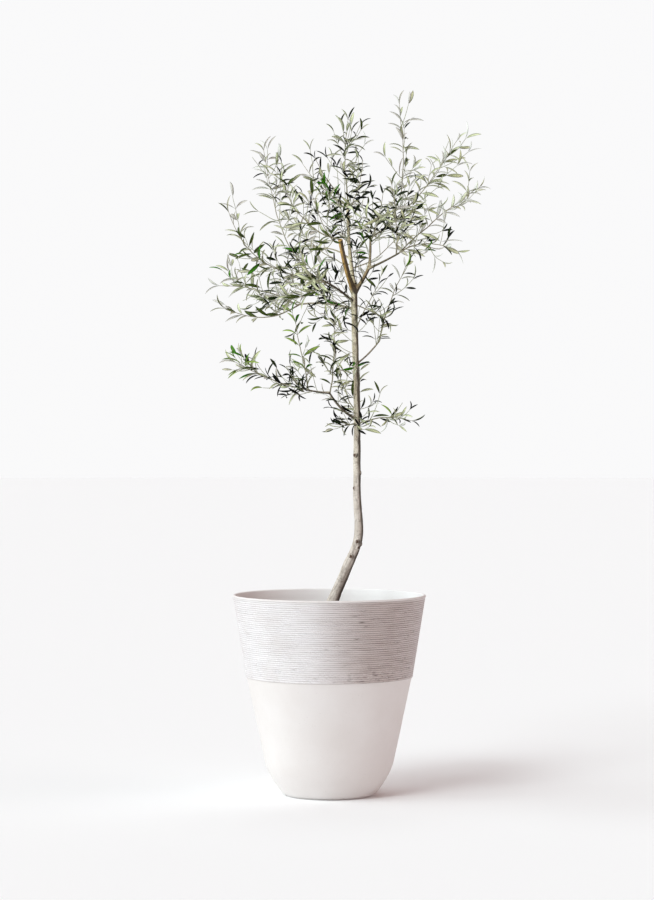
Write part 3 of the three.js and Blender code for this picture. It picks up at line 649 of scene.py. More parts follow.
def revolve(profile, segments, closed):
    """Turns a profile of (radius, height) about the Z axis. A closed one makes a ring, and any
    other one starts and ends on the axis."""
    profile = np.array(profile, float)
    rings = profile if closed else profile[1:-1]
    angles = np.arange(segments) * 2 * math.pi / segments
    vertices = np.empty((len(rings), segments, 3))
    vertices[:, :, 0] = rings[:, :1] * np.cos(angles)
    vertices[:, :, 1] = rings[:, :1] * np.sin(angles)
    vertices[:, :, 2] = rings[:, 1:]
    vertices = vertices.reshape(-1, 3)
    sides = np.arange(segments)
    following = np.roll(sides, -1)
    faces = []
    for ring in range(len(rings) if closed else len(rings) - 1):
        low = ring * segments
        high = (ring + 1) % len(rings) * segments
        corners = (low + sides, low + following, high + following, high + sides)
        faces += np.stack(corners, axis=1).tolist()
    if not closed:
        last = (len(rings) - 1) * segments
        foot, top = len(vertices), len(vertices) + 1
        vertices = np.vstack([vertices, (0, 0, profile[0, 1]), (0, 0, profile[-1, 1])])
        faces += [(foot, int(following[side]), side) for side in sides.tolist()]
        faces += [(top, last + side, last + int(following[side])) for side in sides.tolist()]
    return vertices, faces


# Limbs


class Limb:
    """A tapering limb about a line of points. A share of its length is 0 at its foot and 1 at
    its tip."""

    def __init__(self, line, radius_at, bare=0.0):
        self.line = np.asarray(line, float)
        steps = np.linalg.norm(np.diff(self.line, axis=0), axis=1)
        self.length = steps.sum()
        self.shares = np.concatenate([[0], np.cumsum(steps)]) / self.length
        self.radius_at = radius_at
        self.bare = bare

    def at(self, share):
        return np.stack([np.interp(share, self.shares, axis) for axis in self.line.T], axis=-1)

    def heading(self, share):
        reach = 2 / self.length
        return unit(self.at(np.minimum(1, share + reach)) - self.at(np.maximum(0, share - reach)))

    def share_at_height(self, height):
        return float(np.interp(height, self.line[:, 2], self.shares))


def between(first, second, start, end, place):
    return first * ((end - place) / (end - start)) + second * ((place - start) / (end - start))


def course_line(course, points_a_span=24):
    """A centripetal Catmull-Rom curve through the points of a course"""
    course = np.array(course, float)
    ends = np.vstack([2 * course[0] - course[1], course, 2 * course[-1] - course[-2]])
    line = []
    for a, b, c, d in zip(ends, ends[1:], ends[2:], ends[3:]):
        gaps = [math.dist(a, b) ** 0.5, math.dist(b, c) ** 0.5, math.dist(c, d) ** 0.5]
        times = np.cumsum([0, *gaps])
        place = np.linspace(times[1], times[2], points_a_span, endpoint=False)[:, None]
        ab = between(a, b, times[0], times[1], place)
        bc = between(b, c, times[1], times[2], place)
        cd = between(c, d, times[2], times[3], place)
        abc = between(ab, bc, times[0], times[2], place)
        bcd = between(bc, cd, times[1], times[3], place)
        line.append(between(abc, bcd, times[1], times[2], place))
    return np.vstack([*line, course[-1]])


def bowed_line(start, end, bow, points=25):
    """A quadratic curve. Its middle lies half-way to its control point, so that is bowed twice
    as far."""
    start, end, bow = (np.asarray(place, float) for place in (start, end, bow))
    control = (start + end) / 2 + 2 * bow
    t = np.linspace(0, 1, points)[:, None]
    return start * (1 - t) ** 2 + control * 2 * t * (1 - t) + end * t**2


def trunk_limb():
    """The trunk, which tapers to the fork and flares at its foot"""
    top = TRUNK_COURSE[-1][2]
    line = course_line(TRUNK_COURSE)

    def radius_at(share):
        height = np.interp(share, limb.shares, line[:, 2])
        below = np.minimum(1, (top - height) / (top - SOIL_TOP))
        flare = ROOT_FLARE * np.exp(-np.maximum(0, height - SOIL_TOP) / ROOT_FLARE_HEIGHT)
        return TRUNK_FORK_RADIUS + TRUNK_FOOT_GAIN * below**TRUNK_TAPER_POWER + flare

    limb = Limb(line, radius_at)
    return limb


def start_of(on, at, limbs):
    """Where a limb leaves its parent"""
    parent = limbs[on]
    share = parent.share_at_height(at) if on == "trunk" else at
    return parent.at(share)


def bough_limb(bough, limbs):
    on, at, tip, bow, thick = bough
    line = bowed_line(start_of(on, at, limbs), tip, bow)
    return Limb(line, lambda share: mix(*thick, share) / 2)


def twig_limb(line, radius, bare):
    return Limb(line, lambda share: mix(radius, TIP_RADIUS, share), bare)


def ring_frames(limb, shares):
    """Two directions across the limb at each share, which turn as little as they can"""
    headings = limb.heading(shares)
    across = np.cross(headings[0], (0.3, 1, 0.2))
    firsts = []
    for heading in headings:
        across = across - heading * (across @ heading)
        across /= np.linalg.norm(across)
        firsts.append(across)
    firsts = np.array(firsts)
    return firsts, np.cross(headings, firsts)


def tube(limb, sides, step, swelling=None):
    """A closed tube round the limb, as points and faces"""
    count = max(2, math.ceil(limb.length / step))
    shares = np.linspace(0, 1, count + 1)
    first, second = ring_frames(limb, shares)
    angles = np.arange(sides) * 2 * math.pi / sides
    radii = limb.radius_at(shares)
    if swelling is not None:
        radii = radii * swelling(shares * limb.length)
    around = first[:, None] * np.cos(angles)[:, None] + second[:, None] * np.sin(angles)[:, None]
    vertices = (limb.at(shares)[:, None] + around * radii[:, None, None]).reshape(-1, 3)
    faces = []
    for ring in range(count):
        for side in range(sides):
            following = (side + 1) % sides
            low = ring * sides
            high = low + sides
            faces.append((low + side, low + following, high + following, high + side))
    faces.append(tuple(reversed(range(sides))))
    faces.append(tuple(range(count * sides, (count + 1) * sides)))
    return vertices, faces


def joined(pieces):
    """Several (points, faces) as one"""
    vertices = []
    faces = []
    start = 0
    for piece_vertices, piece_faces in pieces:
        vertices.append(piece_vertices)
        faces += [tuple(corner + start for corner in face) for face in piece_faces]
        start += len(piece_vertices)
    return np.vstack(vertices), faces


# Growth


def leaving(heading, turn, angle):
    """Where a shoot or a leaf leaves its stem. Turn 0 is to the left of an upright stem as seen
    from the front, and 90 is towards the front."""
    left = unit(np.cross(heading, (0, 1, 0)))
    front = np.cross(heading, left)
    side = left * math.cos(math.radians(turn)) + front * math.sin(math.radians(turn))
    return side * math.sin(math.radians(angle)) + heading * math.cos(math.radians(angle))


def crooked(line, seed):
    """The line with small bends, and lengthened a little at its tip"""
    line = np.vstack([line, line[-1] + unit(line[-1] - line[-2]) * TIP_GAIN])
    steps = np.linalg.norm(np.diff(line, axis=0), axis=1)
    along = np.concatenate([[0], np.cumsum(steps)])
    grow_in = np.minimum(1, along / TWIG_BEND_SIZE)[:, None]
    places = np.stack([along, np.full_like(along, 0.5), np.full_like(along, 0.5)], axis=1)
    shifts = [noise(places, TWIG_BEND_SIZE, seed * 3 + axis) for axis in range(3)]
    return line + np.stack(shifts, axis=1) * TWIG_BEND * grow_in


def side_shoot(stem, mass, index, stream):
    """One side shoot of a mass. They leave its stem on alternate sides."""
    spread = (index + 0.5 * stream.number()) / mass.shoots
    share = mix(max(FIRST_SHOOT, mass.bare), LAST_SHOOT, spread)
    quarter = 90 * (index // 2 % 2)
    turn = mass.turn + 180 * (index % 2) + quarter + stream.either_way(SHOOT_TURN_SPREAD)
    scale = mix(LOW_SHOOT_SCALE, TOP_SHOOT_SCALE, share) * stream.within(SHOOT_SCALE_RANGE)
    angle = SHOOT_ANGLE + stream.either_way(SHOOT_ANGLE_SPREAD)
    return shoot_limb(stem, share, turn, angle, mass.reach * scale, SHOOT_RADIUS, SHOOT_BARE)


def shoot_limb(stem, share, turn, angle, length, radius, bare):
    start = stem.at(share)
    end = start + leaving(stem.heading(share), turn, angle) * length
    end[2] += length * SHOOT_RISE
    bow = (0, 0, -length * SHOOT_RISE * SHOOT_SAG)
    seed = int(abs(end[0] * 7 + end[1] * 13 + end[2] * 3))
    return twig_limb(crooked(bowed_line(start, end, bow, SHOOT_POINTS), seed), radius, bare)


def fine_twigs(shoot, stream):
    """Short twigs that leave a shoot, or a stem, each turned on from the one below it"""
    leafy = shoot.length * (1 - shoot.bare)
    count = int(leafy / TWIG_SPACING)
    first_turn = stream.number() * 360
    twigs = []
    for index in range(count):
        share = mix(shoot.bare, LAST_TWIG, (index + stream.number()) / count)
        turn = first_turn + TWIG_TURN * index
        angle = SHOOT_ANGLE + stream.either_way(SHOOT_ANGLE_SPREAD)
        length = stream.within(TWIG_REACH)
        twigs.append(shoot_limb(shoot, share, turn, angle, length, TWIG_RADIUS, TWIG_BARE))
    return twigs


def depth_in_crown(place):
    """How deep a place lies in the crown, from 0 at its outside to 1 at the trunk's line"""
    away = math.hypot(place[0] - TRUNK_COURSE[-1][0], place[1] - TRUNK_COURSE[-1][1])
    above = max(0, place[2] - INNER_TOP)
    return max(0, 1 - math.hypot(away, above) / CROWN_DEPTH)


# Deeper sprays get more of the deep tone, painted shade, and outer ones more of the pale tone, painted
# light
def pick_tone(stream, depth):
    chance = stream.number()
    for name, (outer, inner, *_) in LEAF_TONES.items():
        chance -= mix(outer, inner, depth)
        if chance < 0:
            return name
    return name


def leaf_pairs(twig, stream, tone=None):
    """The leaves of one twig. All of them have one tone."""
    depth = depth_in_crown(twig.at(0.5))
    tone = tone or pick_tone(stream, depth)
    leafy = twig.length * (1 - twig.bare)
    count = max(1, round(leafy / PAIR_SPACING))
    first_turn = stream.either_way(FIRST_PAIR_SPREAD)
    leaves = []
    for pair in range(count + 1):
        along = pair / count
        share = mix(twig.bare, TOP_PAIR, along)
        heading = twig.heading(share)
        for side in (0, 180):
            turn = first_turn + side + PAIR_TURN * (pair % 2) + stream.either_way(LEAF_TURN_SPREAD)
            lean = mix(LOW_LEAF_ANGLE, TOP_LEAF_ANGLE, along**LEAF_ANGLE_POWER)
            out = leaving(heading, turn, lean + stream.either_way(LEAF_ANGLE_SPREAD))
            out = unit(out * (1, 1, mix(LEVELLING, 1, along**LEAF_ANGLE_POWER)))
            scale = mix(LOW_LEAF_SCALE, TOP_LEAF_SCALE, along) * stream.within(LEAF_SCALE_RANGE)
            scale *= mix(1, INNER_LEAF_SCALE, depth) * LEAF_TONES[tone][2]
            if stream.number() < LEAF_LOSS * (1 - along):
                continue
            leaves.append({
                "tone": tone,
                "root": twig.at(share),
                "out": out,
                "heading": heading,
                "length": LEAF_LENGTH * scale,
                "width": stream.within(LEAF_WIDTH_SHARE),
                "bend": stream.within(LEAF_BEND),
                "fold": stream.within(LEAF_FOLD),
                "twist": stream.either_way(LEAF_TWIST),
                "roll": stream.either_way(LEAF_ROLL_SPREAD),
            })
    return leaves


def grow_mass(mass, limbs):
    """The stem, the shoots and the leaves of one mass"""
    stem_line = bowed_line(start_of(mass.on, mass.at, limbs), mass.to, mass.bow)
    stem = twig_limb(crooked(stem_line, mass.seed), STEM_RADIUS, mass.bare)
    stream = Stream(mass.seed)
    shoots = [side_shoot(stem, mass, index, stream) for index in range(mass.shoots)]
    shoots = [shoot for shoot in shoots if not in_opening(shoot.at(1))]
    twigs = [twig for shoot in shoots for twig in fine_twigs(shoot, stream)]
    leaves = [leaf for twig in (stem, *shoots, *twigs) for leaf in leaf_pairs(twig, stream)]
    return stem, [*shoots, *twigs], leaves


def grow_sprig(sprig, number, limbs, tone):
    """The twig and the leaves of one sprig. Its number is the seed that it grows by."""
    on, at, *tip = sprig
    line = bowed_line(start_of(on, at, limbs), tip, (0, 0, -SPRIG_RISE), SHOOT_POINTS)
    twig = twig_limb(crooked(line, number - SPRIG_SEED), TWIG_RADIUS, SPRIG_BARE)
    return twig, leaf_pairs(twig, Stream(number), tone)


def limb_tree(limbs, step=1.5):
    """A search tree of points along the limbs, with what it needs to know at each"""
    samples = []
    for number, limb in enumerate(limbs.values()):
        shares = np.linspace(0, 1, math.ceil(limb.length / step) + 1)
        first, second = ring_frames(limb, shares)
        radii = np.broadcast_to(limb.radius_at(shares), shares.shape)
        for row in zip(limb.at(shares), first, second, radii, shares * limb.length):
            samples.append((*row, number))
    tree = kdtree.KDTree(len(samples))
    for index, sample in enumerate(samples):
        tree.insert(sample[0], index)
    tree.balance()
    return tree, samples


def in_opening(place):
    return any(math.hypot(place[0] - x, place[2] - z) < radius for x, z, radius in OPENINGS)


def is_clear(leaf, tree, samples):
    """Whether the leaf keeps clear of the openings, and its outer part of the trunk and boughs"""
    reach = leaf["out"] * leaf["length"]
    if in_opening(leaf["root"] + reach * 0.5):
        return False
    for share in CLEAR_SHARES:
        _, index, distance = tree.find(leaf["root"] + reach * share)
        limb_radius = samples[index][3]
        if distance < limb_radius + LEAF_CLEARANCE:
            return False
    return True


# Leaf meshes


def leaf_half_width(station):
    """The half width of a blade of length 1 and width 2, with its short stalk"""
    blade = np.clip((station - STALK_SHARE) / (1 - STALK_SHARE), 0, 1)
    return blade**BLADE_FOOT_POWER * (1 - blade) ** BLADE_TIP_POWER * BLADE_FILL


def leaf_faces():
    """The faces of one leaf, and whether each lies on its underside. Each station between root
    and tip has a left edge, a top, a right edge and a bottom."""
    rings = len(LEAF_STATIONS) - 2
    root, tip = 0, 1 + rings * 4
    faces = []
    for ring in range(rings - 1):
        left, top, right, bottom = (1 + ring * 4 + corner for corner in range(4))
        faces.append(((top, top + 4, left + 4, left), 0))
        faces.append(((right, right + 4, top + 4, top), 0))
        faces.append(((bottom, left, left + 4, bottom + 4), 1))
        faces.append(((right, bottom, bottom + 4, right + 4), 1))
    left, top, right, bottom = 1, 2, 3, 4
    faces += [((root, top, left), 0), ((root, right, top), 0)]
    faces += [((root, left, bottom), 1), ((root, bottom, right), 1)]
    left, top, right, bottom = (tip - 4 + corner for corner in range(4))
    faces += [((tip, left, top), 0), ((tip, top, right), 0)]
    faces += [((tip, bottom, left), 1), ((tip, right, bottom), 1)]
    return faces


def column(leaves, key):
    return np.array([leaf[key] for leaf in leaves], float)


def leaf_axes(leaves):
    """The directions along, across and up from each leaf's blade"""
    out = column(leaves, "out")
    across = unit(np.cross(column(leaves, "heading"), out))
    upper = np.cross(out, across)
    roll = np.radians(column(leaves, "roll"))[:, None]
    rolled = across * np.cos(roll) + upper * np.sin(roll)
    return out, rolled, upper * np.cos(roll) - across * np.sin(roll)


def leaf_points(leaves):
    """The points of every leaf, an array of leaves by points by 3"""
    out, across, upper = leaf_axes(leaves)
    length, width = (column(leaves, key)[:, None] for key in ("length", "width"))
    fold, bends, twists = (
        np.radians(column(leaves, key))[:, None] for key in ("fold", "bend", "twist")
    )
    centre = column(leaves, "root")
    before = 0
    points = []
    for station in LEAF_STATIONS:
        half_way = bends * ((station + before) / 2 - 0.5)
        step = out * np.cos(half_way) - upper * np.sin(half_way)
        centre = centre + step * length * (station - before)
        before = station
        if station in (0, 1):
            points.append(centre)
            continue
        bend = bends * (station - 0.5)
        normal = upper * np.cos(bend) + out * np.sin(bend)
        twist = twists * station
        side = across * np.cos(twist) + normal * np.sin(twist)
        normal = normal * np.cos(twist) - across * np.sin(twist)
        half = np.maximum(width * length / 2 * leaf_half_width(station), STALK_WIDTH / 2)
        lifted = normal * half * np.sin(fold)
        points.append(centre + side * half * np.cos(fold) + lifted)
        points.append(centre)
        points.append(centre - side * half * np.cos(fold) + lifted)
        points.append(centre - normal * LEAF_THICKNESS)
    return np.stack(points, axis=1)


def make_leaves(name, leaves, looks):
    """All the leaves of one tone as one mesh"""
    points = leaf_points(leaves)
    template = leaf_faces()
    faces = []
    for leaf in range(len(leaves)):
        start = leaf * points.shape[1]
        faces += [tuple(corner + start for corner in face) for face, _ in template]
    undersides = [under for _, under in template] * len(leaves)
    made = make_object(name, points.reshape(-1, 3), faces, looks, undersides)
    rings = len(LEAF_STATIONS) - 2
    keep_value(made, "along", [0, *np.repeat(LEAF_STATIONS[1:-1], 4), 1] * len(leaves))
    keep_value(made, "margin", [1, *[1, 0, 1, 0] * rings, 1] * len(leaves))
    made.data.set_sharp_from_angle(angle=math.radians(SHARP_EDGE))
    return made


# Looks


class Look:
    """A material with a Principled shader, and short ways to add nodes to it"""

    def __init__(self, name, base, roughness):
        self.material = bpy.data.materials.new(name)
        self.material.use_nodes = True
        self.tree = self.material.node_tree
        self.shader = self.tree.nodes["Principled BSDF"]
        self.shader.inputs["Base Color"].default_value = base
        self.shader.inputs["Roughness"].default_value = roughness
        self.place = self.node("ShaderNodeTexCoord").outputs["Object"]

    def node(self, kind, **settings):
        made = self.tree.nodes.new(kind)
        for key, value in settings.items():
            setattr(made, key, value)
        return made

    def connect(self, source, target):
        self.tree.links.new(source, target)

    def noise(self, size, detail=3, stretch=(1, 1, 1)):
        """Noise from 0 to 1 with blobs of about size millimetres. stretch lengthens them."""
        mapping = self.node("ShaderNodeMapping")
        mapping.inputs["Scale"].default_value = [1 / axis for axis in stretch]
        self.connect(self.place, mapping.inputs["Vector"])
        made = self.node("ShaderNodeTexNoise")
        made.inputs["Scale"].default_value = 1 / (size * MM)
        made.inputs["Detail"].default_value = detail
        self.connect(mapping.outputs["Vector"], made.inputs["Vector"])
        return made.outputs["Fac"]

    def value(self, name):
        return self.node("ShaderNodeAttribute", attribute_name=name).outputs["Fac"]

    def ramp(self, source, low, high, low_value=0.0, high_value=1.0):
        made = self.node("ShaderNodeMapRange")
        made.inputs["From Min"].default_value = low
        made.inputs["From Max"].default_value = high
        made.inputs["To Min"].default_value = low_value
        made.inputs["To Max"].default_value = high_value
        self.connect(source, made.inputs["Value"])
        return made.outputs["Result"]

    def math(self, operation, first, second):
        made = self.node("ShaderNodeMath", operation=operation)
        for source, target in zip((first, second), made.inputs):
            if isinstance(source, (int, float)):
                target.default_value = source
            else:
                self.connect(source, target)
        return made.outputs["Value"]

    def blend(self, share, first, second, blend_type="MIX"):
        """Mixes two colours, each a colour or the output of a node"""
        made = self.node("ShaderNodeMix", data_type="RGBA", blend_type=blend_type)
        self.connect(share, made.inputs["Factor"])
        for source, target in zip((first, second), (made.inputs[6], made.inputs[7])):
            if isinstance(source, tuple):
                target.default_value = source
            else:
                self.connect(source, target)
        return made.outputs[2]

    def base(self, source):
        self.connect(source, self.shader.inputs["Base Color"])

    def roughness(self, source):
        self.connect(source, self.shader.inputs["Roughness"])

    def bump(self, source, height):
        """Relief of about height millimetres"""
        made = self.node("ShaderNodeBump")
        made.inputs["Distance"].default_value = height * MM
        self.connect(source, made.inputs["Height"])
        self.connect(made.outputs["Normal"], self.shader.inputs["Normal"])


def scaled(shade, factor):
    return tuple(min(1, channel * factor) for channel in shade[:3]) + (1,)


def leaf_look(name, base, roughness):
    """A mottled blade with painted shade near its stalk and along its margin"""
    base = color(*base)
    look = Look(name, base, roughness)
    look.shader.inputs["Specular IOR Level"].default_value = LEAF_GLOSS
    mottle = look.ramp(look.noise(4, 3), 0.3, 0.7, 0.0, 0.5)
    mottled = look.blend(mottle, base, scaled(base, MOTTLE_SHADE))
    # painted shade near the stalk
    along = look.ramp(look.value("along"), 0.1, 0.7)
    shaded = look.blend(along, scaled(base, STALK_PAINTED_SHADE), mottled)
    # painted shade along the margin
    margin = look.ramp(look.value("margin"), 0.4, 1, 0.0, 0.9)
    look.base(look.blend(margin, shaded, scaled(base, MARGIN_PAINTED_SHADE)))
    look.bump(look.noise(0.9, 2), 0.12)
    return look.material


def twig_look(name, base, fleck):
    look = Look(name, color(*base), 0.75)
    flecks = look.ramp(look.noise(2.5, 3, (1, 1, 3)), 0.35, 0.7)
    look.base(look.blend(flecks, color(*base), color(*fleck)))
    look.bump(look.noise(1.2, 3, (1, 1, 3)), 0.2)
    return look.material


def bark_look():
    """Pale smooth bark with level marks, golden on the young boughs, pale olive towards the top with
    painted light, darkened by painted shade on some boughs and on the shaded sides of the trunk and
    boughs, and dark in its grooves and knots"""
    look = Look("bark", color(190, 180, 168), 0.85)
    streaks = look.ramp(look.noise(5, 4, (1, 1, 5)), 0.35, 0.68)
    grey = look.blend(streaks, color(222, 213, 203), color(196, 185, 173))
    blotches = look.ramp(look.noise(18, 2, (1, 1, 2)), 0.5, 0.68, 0.0, 0.55)
    grey = look.blend(blotches, grey, color(182, 171, 158))
    gold = look.blend(streaks, color(232, 184, 94), color(180, 146, 74))
    # a pale olive: partly the bark's own tone, partly painted light that offsets the crown's shadow
    olive_and_painted_light = look.blend(streaks, color(255, 251, 222), color(250, 238, 196))
    painted_bough_shade = look.blend(streaks, color(112, 100, 70), color(62, 54, 34))
    aged = look.blend(look.value("olive_and_painted_light"), grey, olive_and_painted_light)
    aged = look.blend(look.value("gold"), aged, gold)
    aged = look.blend(look.value("painted_bough_shade"), aged, painted_bough_shade)
    young = look.math("MAXIMUM", look.value("olive_and_painted_light"), look.value("painted_bough_shade"))
    mottle = look.math("MULTIPLY", young, look.ramp(look.noise(3.4, 2), 0.56, 0.68, 0.0, 0.45))
    aged = look.blend(mottle, aged, color(80, 74, 42))
    # painted shade on the trunk's shaded side and on the boughs' undersides
    aged = look.blend(look.value("painted_side_shade"), aged, color(50, 42, 29))
    marks = look.ramp(look.noise(2.2, 3, (2.2, 2.2, 0.5)), 0.6, 0.7, 0.0, 0.45)
    marked = look.blend(marks, aged, color(112, 96, 84))
    specks = look.ramp(look.noise(1.4, 2), 0.66, 0.74, 0.0, 0.8)
    specked = look.blend(specks, marked, color(70, 58, 48))
    grooved = look.blend(look.value("groove"), specked, color(104, 90, 78))
    look.base(look.blend(look.value("knot"), grooved, color(86, 64, 50)))
    look.bump(look.noise(0.9, 3, (1, 1, 2.5)), 0.25)
    return look.material


def pot_look(name, light, dark, pore):
    """Smooth matt cast stone with faint clouds and a few fine pores"""
    look = Look(name, color(*light), 0.6)
    clouds = look.ramp(look.noise(70, 3), 0.3, 0.7)
    clouded = look.blend(clouds, color(*light), color(*dark))
    pores = look.ramp(look.noise(2.2, 1), 0.72, 0.78, 0.0, 0.35)
    look.base(look.blend(pores, clouded, color(*pore)))
    look.roughness(look.ramp(look.noise(9, 3), 0.3, 0.7, 0.5, 0.68))
    look.bump(look.noise(3, 4), 0.12)
    return look.material


def band_look():
    """Ribbed cast stone with faint level streaks, painted paler where light is painted on its lit sides,
    with painted shade in its grooves and pits, and flecked with pale and dark grains where it is worn"""
    look = Look("pot_ribbed", color(200, 190, 187), 0.5)
    look.shader.inputs["Specular IOR Level"].default_value = 0.8
    streaks = look.ramp(look.noise(20, 3, (2.2, 2.2, 0.2)), 0.36, 0.66)
    plain = look.blend(streaks, color(204, 192, 189), color(190, 176, 172))
    # the band's colour where light is painted on
    painted_lit_side = look.blend(streaks, color(233, 229, 230), color(228, 224, 224))
    streaked = look.blend(look.value("painted_light"), plain, painted_lit_side)
    patches = look.ramp(look.noise(45, 2, (1.3, 1.3, 0.8)), 0.45, 0.75, 0.0, 0.25)
    patched = look.blend(patches, streaked, color(196, 182, 177))
    wear = look.value("wear")
    dark_grains = look.ramp(look.noise(2.6, 2, (1.9, 1.9, 0.6)), 0.58, 0.7, 0.0, 0.75)
    worn = look.math("MULTIPLY", dark_grains, wear)
    # fewer dark grains where light is painted on
    worn = look.math("MULTIPLY", worn, look.ramp(look.value("painted_light"), 0, 1, 1.0, 0.3))
    dark = look.blend(worn, patched, color(128, 114, 106))
    pale_grains = look.ramp(look.noise(2.2, 2, (2.3, 2.3, 0.5)), 0.62, 0.7)
    pale_share = look.math("MULTIPLY", pale_grains, look.ramp(wear, 0, 1, 0.25, 0.9))
    pale = look.blend(pale_share, dark, color(226, 220, 217))
    # painted shade in the grooves, chips and pits
    grooved = look.blend(look.value("groove"), pale, color(112, 99, 95))
    look.base(look.blend(look.value("painted_pit_shade"), grooved, color(84, 70, 62)))
    look.bump(look.noise(1.4, 4, (1.8, 1.8, 0.6)), 0.35)
    return look.material


def soil_look(name, light, dark):
    look = Look(name, color(*dark), 0.95)
    clods = look.ramp(look.noise(6, 5), 0.35, 0.7)
    look.base(look.blend(clods, color(*dark), color(*light)))
    look.bump(look.noise(1.5, 4), 0.6)
    return look.material


# Pot


def pot_radius(height):
    straight = BAND_FOOT_RADIUS - BAND_STEP - (BAND_FOOT - height) * BODY_TAPER
    draw = max(0, (CORNER_HEIGHT - height) / CORNER_HEIGHT)
    return straight - CORNER_DRAW * draw**CORNER_POWER


def band_radius(height):
    return mix(BAND_FOOT_RADIUS, RIM_RADIUS, (height - BAND_FOOT) / BAND_HEIGHT)


def shell_radius(height):
    """The bowl's outside, which passes on behind the band and comes out again as the lip"""
    if height <= BAND_FOOT:
        return pot_radius(height)
    return band_radius(height) - BAND_STEP


def bowl_outside():
    """The bowl's section from the middle of its foot to the lip"""
    heel_radius = pot_radius(FOOT_HEIGHT)
    foot_radius = heel_radius - FOOT_INSET
    cut_in, cut_up = FOOT_CHAMFER
    foot = [
        (0, 0),
        (foot_radius * 0.5, 0),
        (foot_radius - cut_in, 0),
        (foot_radius, cut_up),
        (foot_radius, FOOT_HEIGHT),
    ]
    heel = [(heel_radius - inwards, FOOT_HEIGHT + upwards) for inwards, upwards in HEEL]
    corner = np.linspace(FOOT_HEIGHT + HEEL_HEIGHT, CORNER_HEIGHT, CORNER_RINGS)
    wall = np.linspace(CORNER_HEIGHT + WALL_START, BAND_FOOT, WALL_RINGS)
    hidden = np.linspace(BAND_FOOT + HIDDEN_START, POT_HEIGHT - LIP_HEIGHT, HIDDEN_RINGS)
    outside = [(shell_radius(height), height) for height in (*corner, *wall, *hidden)]
    return [*foot, *heel, *outside]


def bowl_inside():
    """The bowl's section from the lip to the middle of its inner floor"""
    top = POT_HEIGHT - LIP_HEIGHT - INSIDE_START
    heights = np.linspace(top, WALL + INSIDE_END, INSIDE_RINGS)
    inside = [(shell_radius(height) - WALL + BAND_STEP, height) for height in heights]
    floor = pot_radius(WALL) - WALL
    return [*inside, *((floor * share, WALL + upwards) for share, upwards in INNER_CORNER)]


def bowl_profile():
    lip_centre = RIM_RADIUS - WALL / 2
    lip = [
        (lip_centre + WALL / 2 * math.cos(angle), POT_HEIGHT - LIP_HEIGHT * (1 - math.sin(angle)))
        for angle in np.radians(np.arange(0, 181, 15))
    ]
    return [*bowl_outside(), *lip, *bowl_inside()]


def make_bowl():
    """The bowl, painted paler inside as painted light for the light bounced within it, with the faint
    waves of a cast surface
    """
    profile = bowl_profile()
    vertices, faces = revolve(profile, BOWL_SIDES, closed=False)
    looks = [
        pot_look("pot_smooth", (229, 224, 222), (224, 218, 215), (190, 182, 176)),
        pot_look("pot_inside_painted_light", (250, 248, 247), (245, 242, 241), (226, 221, 218)),
    ]
    top = max(range(len(profile)), key=lambda row: profile[row][1])
    face_looks = [0] * (top * BOWL_SIDES) + [1] * (len(faces) - top * BOWL_SIDES)
    face_looks[-2 * BOWL_SIDES:-BOWL_SIDES] = [0] * BOWL_SIDES
    made = make_object("pot_bowl", vertices, faces, looks, face_looks)
    points = points_of(made)
    distance = np.maximum(1, np.hypot(points[:, 0], points[:, 1]))[:, None]
    swell = waves(points, BOWL_WAVES) * (points[:, 2] > FOOT_HEIGHT)
    move_points(made, points + points * (1, 1, 0) / distance * swell[:, None])
    return made


def pits():
    """The band's pits, as (angle, height, half length, half height, depth)"""
    stream = Stream(77)
    low, high = PIT_MARGIN
    for _ in range(PIT_COUNT):
        angle = stream.number() * 2 * math.pi
        height = BAND_FOOT + low + (BAND_HEIGHT - low - high) * stream.number() ** PIT_LOW_POWER
        half_length = stream.within(PIT_HALF_LENGTH)
        yield angle, height, half_length, stream.within(PIT_HALF_HEIGHT), stream.within(PIT_DEPTH)


def add_pits(points, angle, distance, sink):
    """Adds the depth of the pits to sink, and gives the painted shade that they put on each point"""
    dark = np.zeros(len(points))
    for pit_angle, pit_height, half_length, half_height, depth in pits():
        turn = np.angle(np.exp(1j * (angle - pit_angle)))
        rise = points[:, 2] - pit_height
        hollow = np.exp(-((turn * distance / half_length) ** 2 + (rise / half_height) ** 2))
        sink += depth * hollow
        dark = np.maximum(dark, hollow * min(1, depth + PIT_PAINTED_SHADE))
    return dark


def ribbing(points, low_part):
    """The grooves between the ribs and the chips off them, each from 0 to about 1"""
    place = (points[:, 2] - BAND_FOOT) / RIB_PITCH + noise(points, (30, 30, 12), 21) * RIB_WOBBLE
    strength = RIB_STRENGTH + RIB_CHANGE * noise(points, (22, 22, RIB_PITCH), 22)
    strength = strength - LOW_RIB_LOSS * low_part
    grooves = np.exp(-(((place - np.round(place)) / GROOVE_SHARE) ** 2)) * strength
    flakes = np.clip(noise(points, (8, 8, 2.4), 23) - CHIP_START, 0, 1)
    return grooves, flakes * (CHIP_SHARE + low_part)


def side_share(angle, direction, start, span):
    """How far a place round the pot has turned to one side: 0 at its start, and 1 after its span"""
    return (np.cos(angle - math.radians(direction)) - start) / span


# Painted light on the band: full on its left front, and a weaker share on its right
def painted_light_share(points, angle):
    ragged = PAINTED_LIGHT_RAGGEDNESS * noise(points, (40, 40, 30), 24)
    painted_lit_side = np.clip(side_share(angle, *PAINTED_LIGHT_SIDE) + ragged, 0, 1)
    painted_fill = np.clip(side_share(angle, *PAINTED_FILL_SIDE), 0, 1)
    return np.maximum(painted_lit_side, PAINTED_FILL_SHARE * painted_fill)


def band_ring():
    """The smooth ring that the ribs are cut into"""
    top = POT_HEIGHT - LIP_HEIGHT
    count = round((top - BAND_FOOT) / RIB_PITCH * RIB_POINTS)
    heights = np.linspace(BAND_FOOT, top, count + 1)
    outside = [(band_radius(height), height) for height in heights]
    inside = [(band_radius(height) - BAND_STEP - BAND_LAP, height) for height in (top, BAND_FOOT)]
    return revolve([*outside, *inside], BAND_SIDES, closed=True)


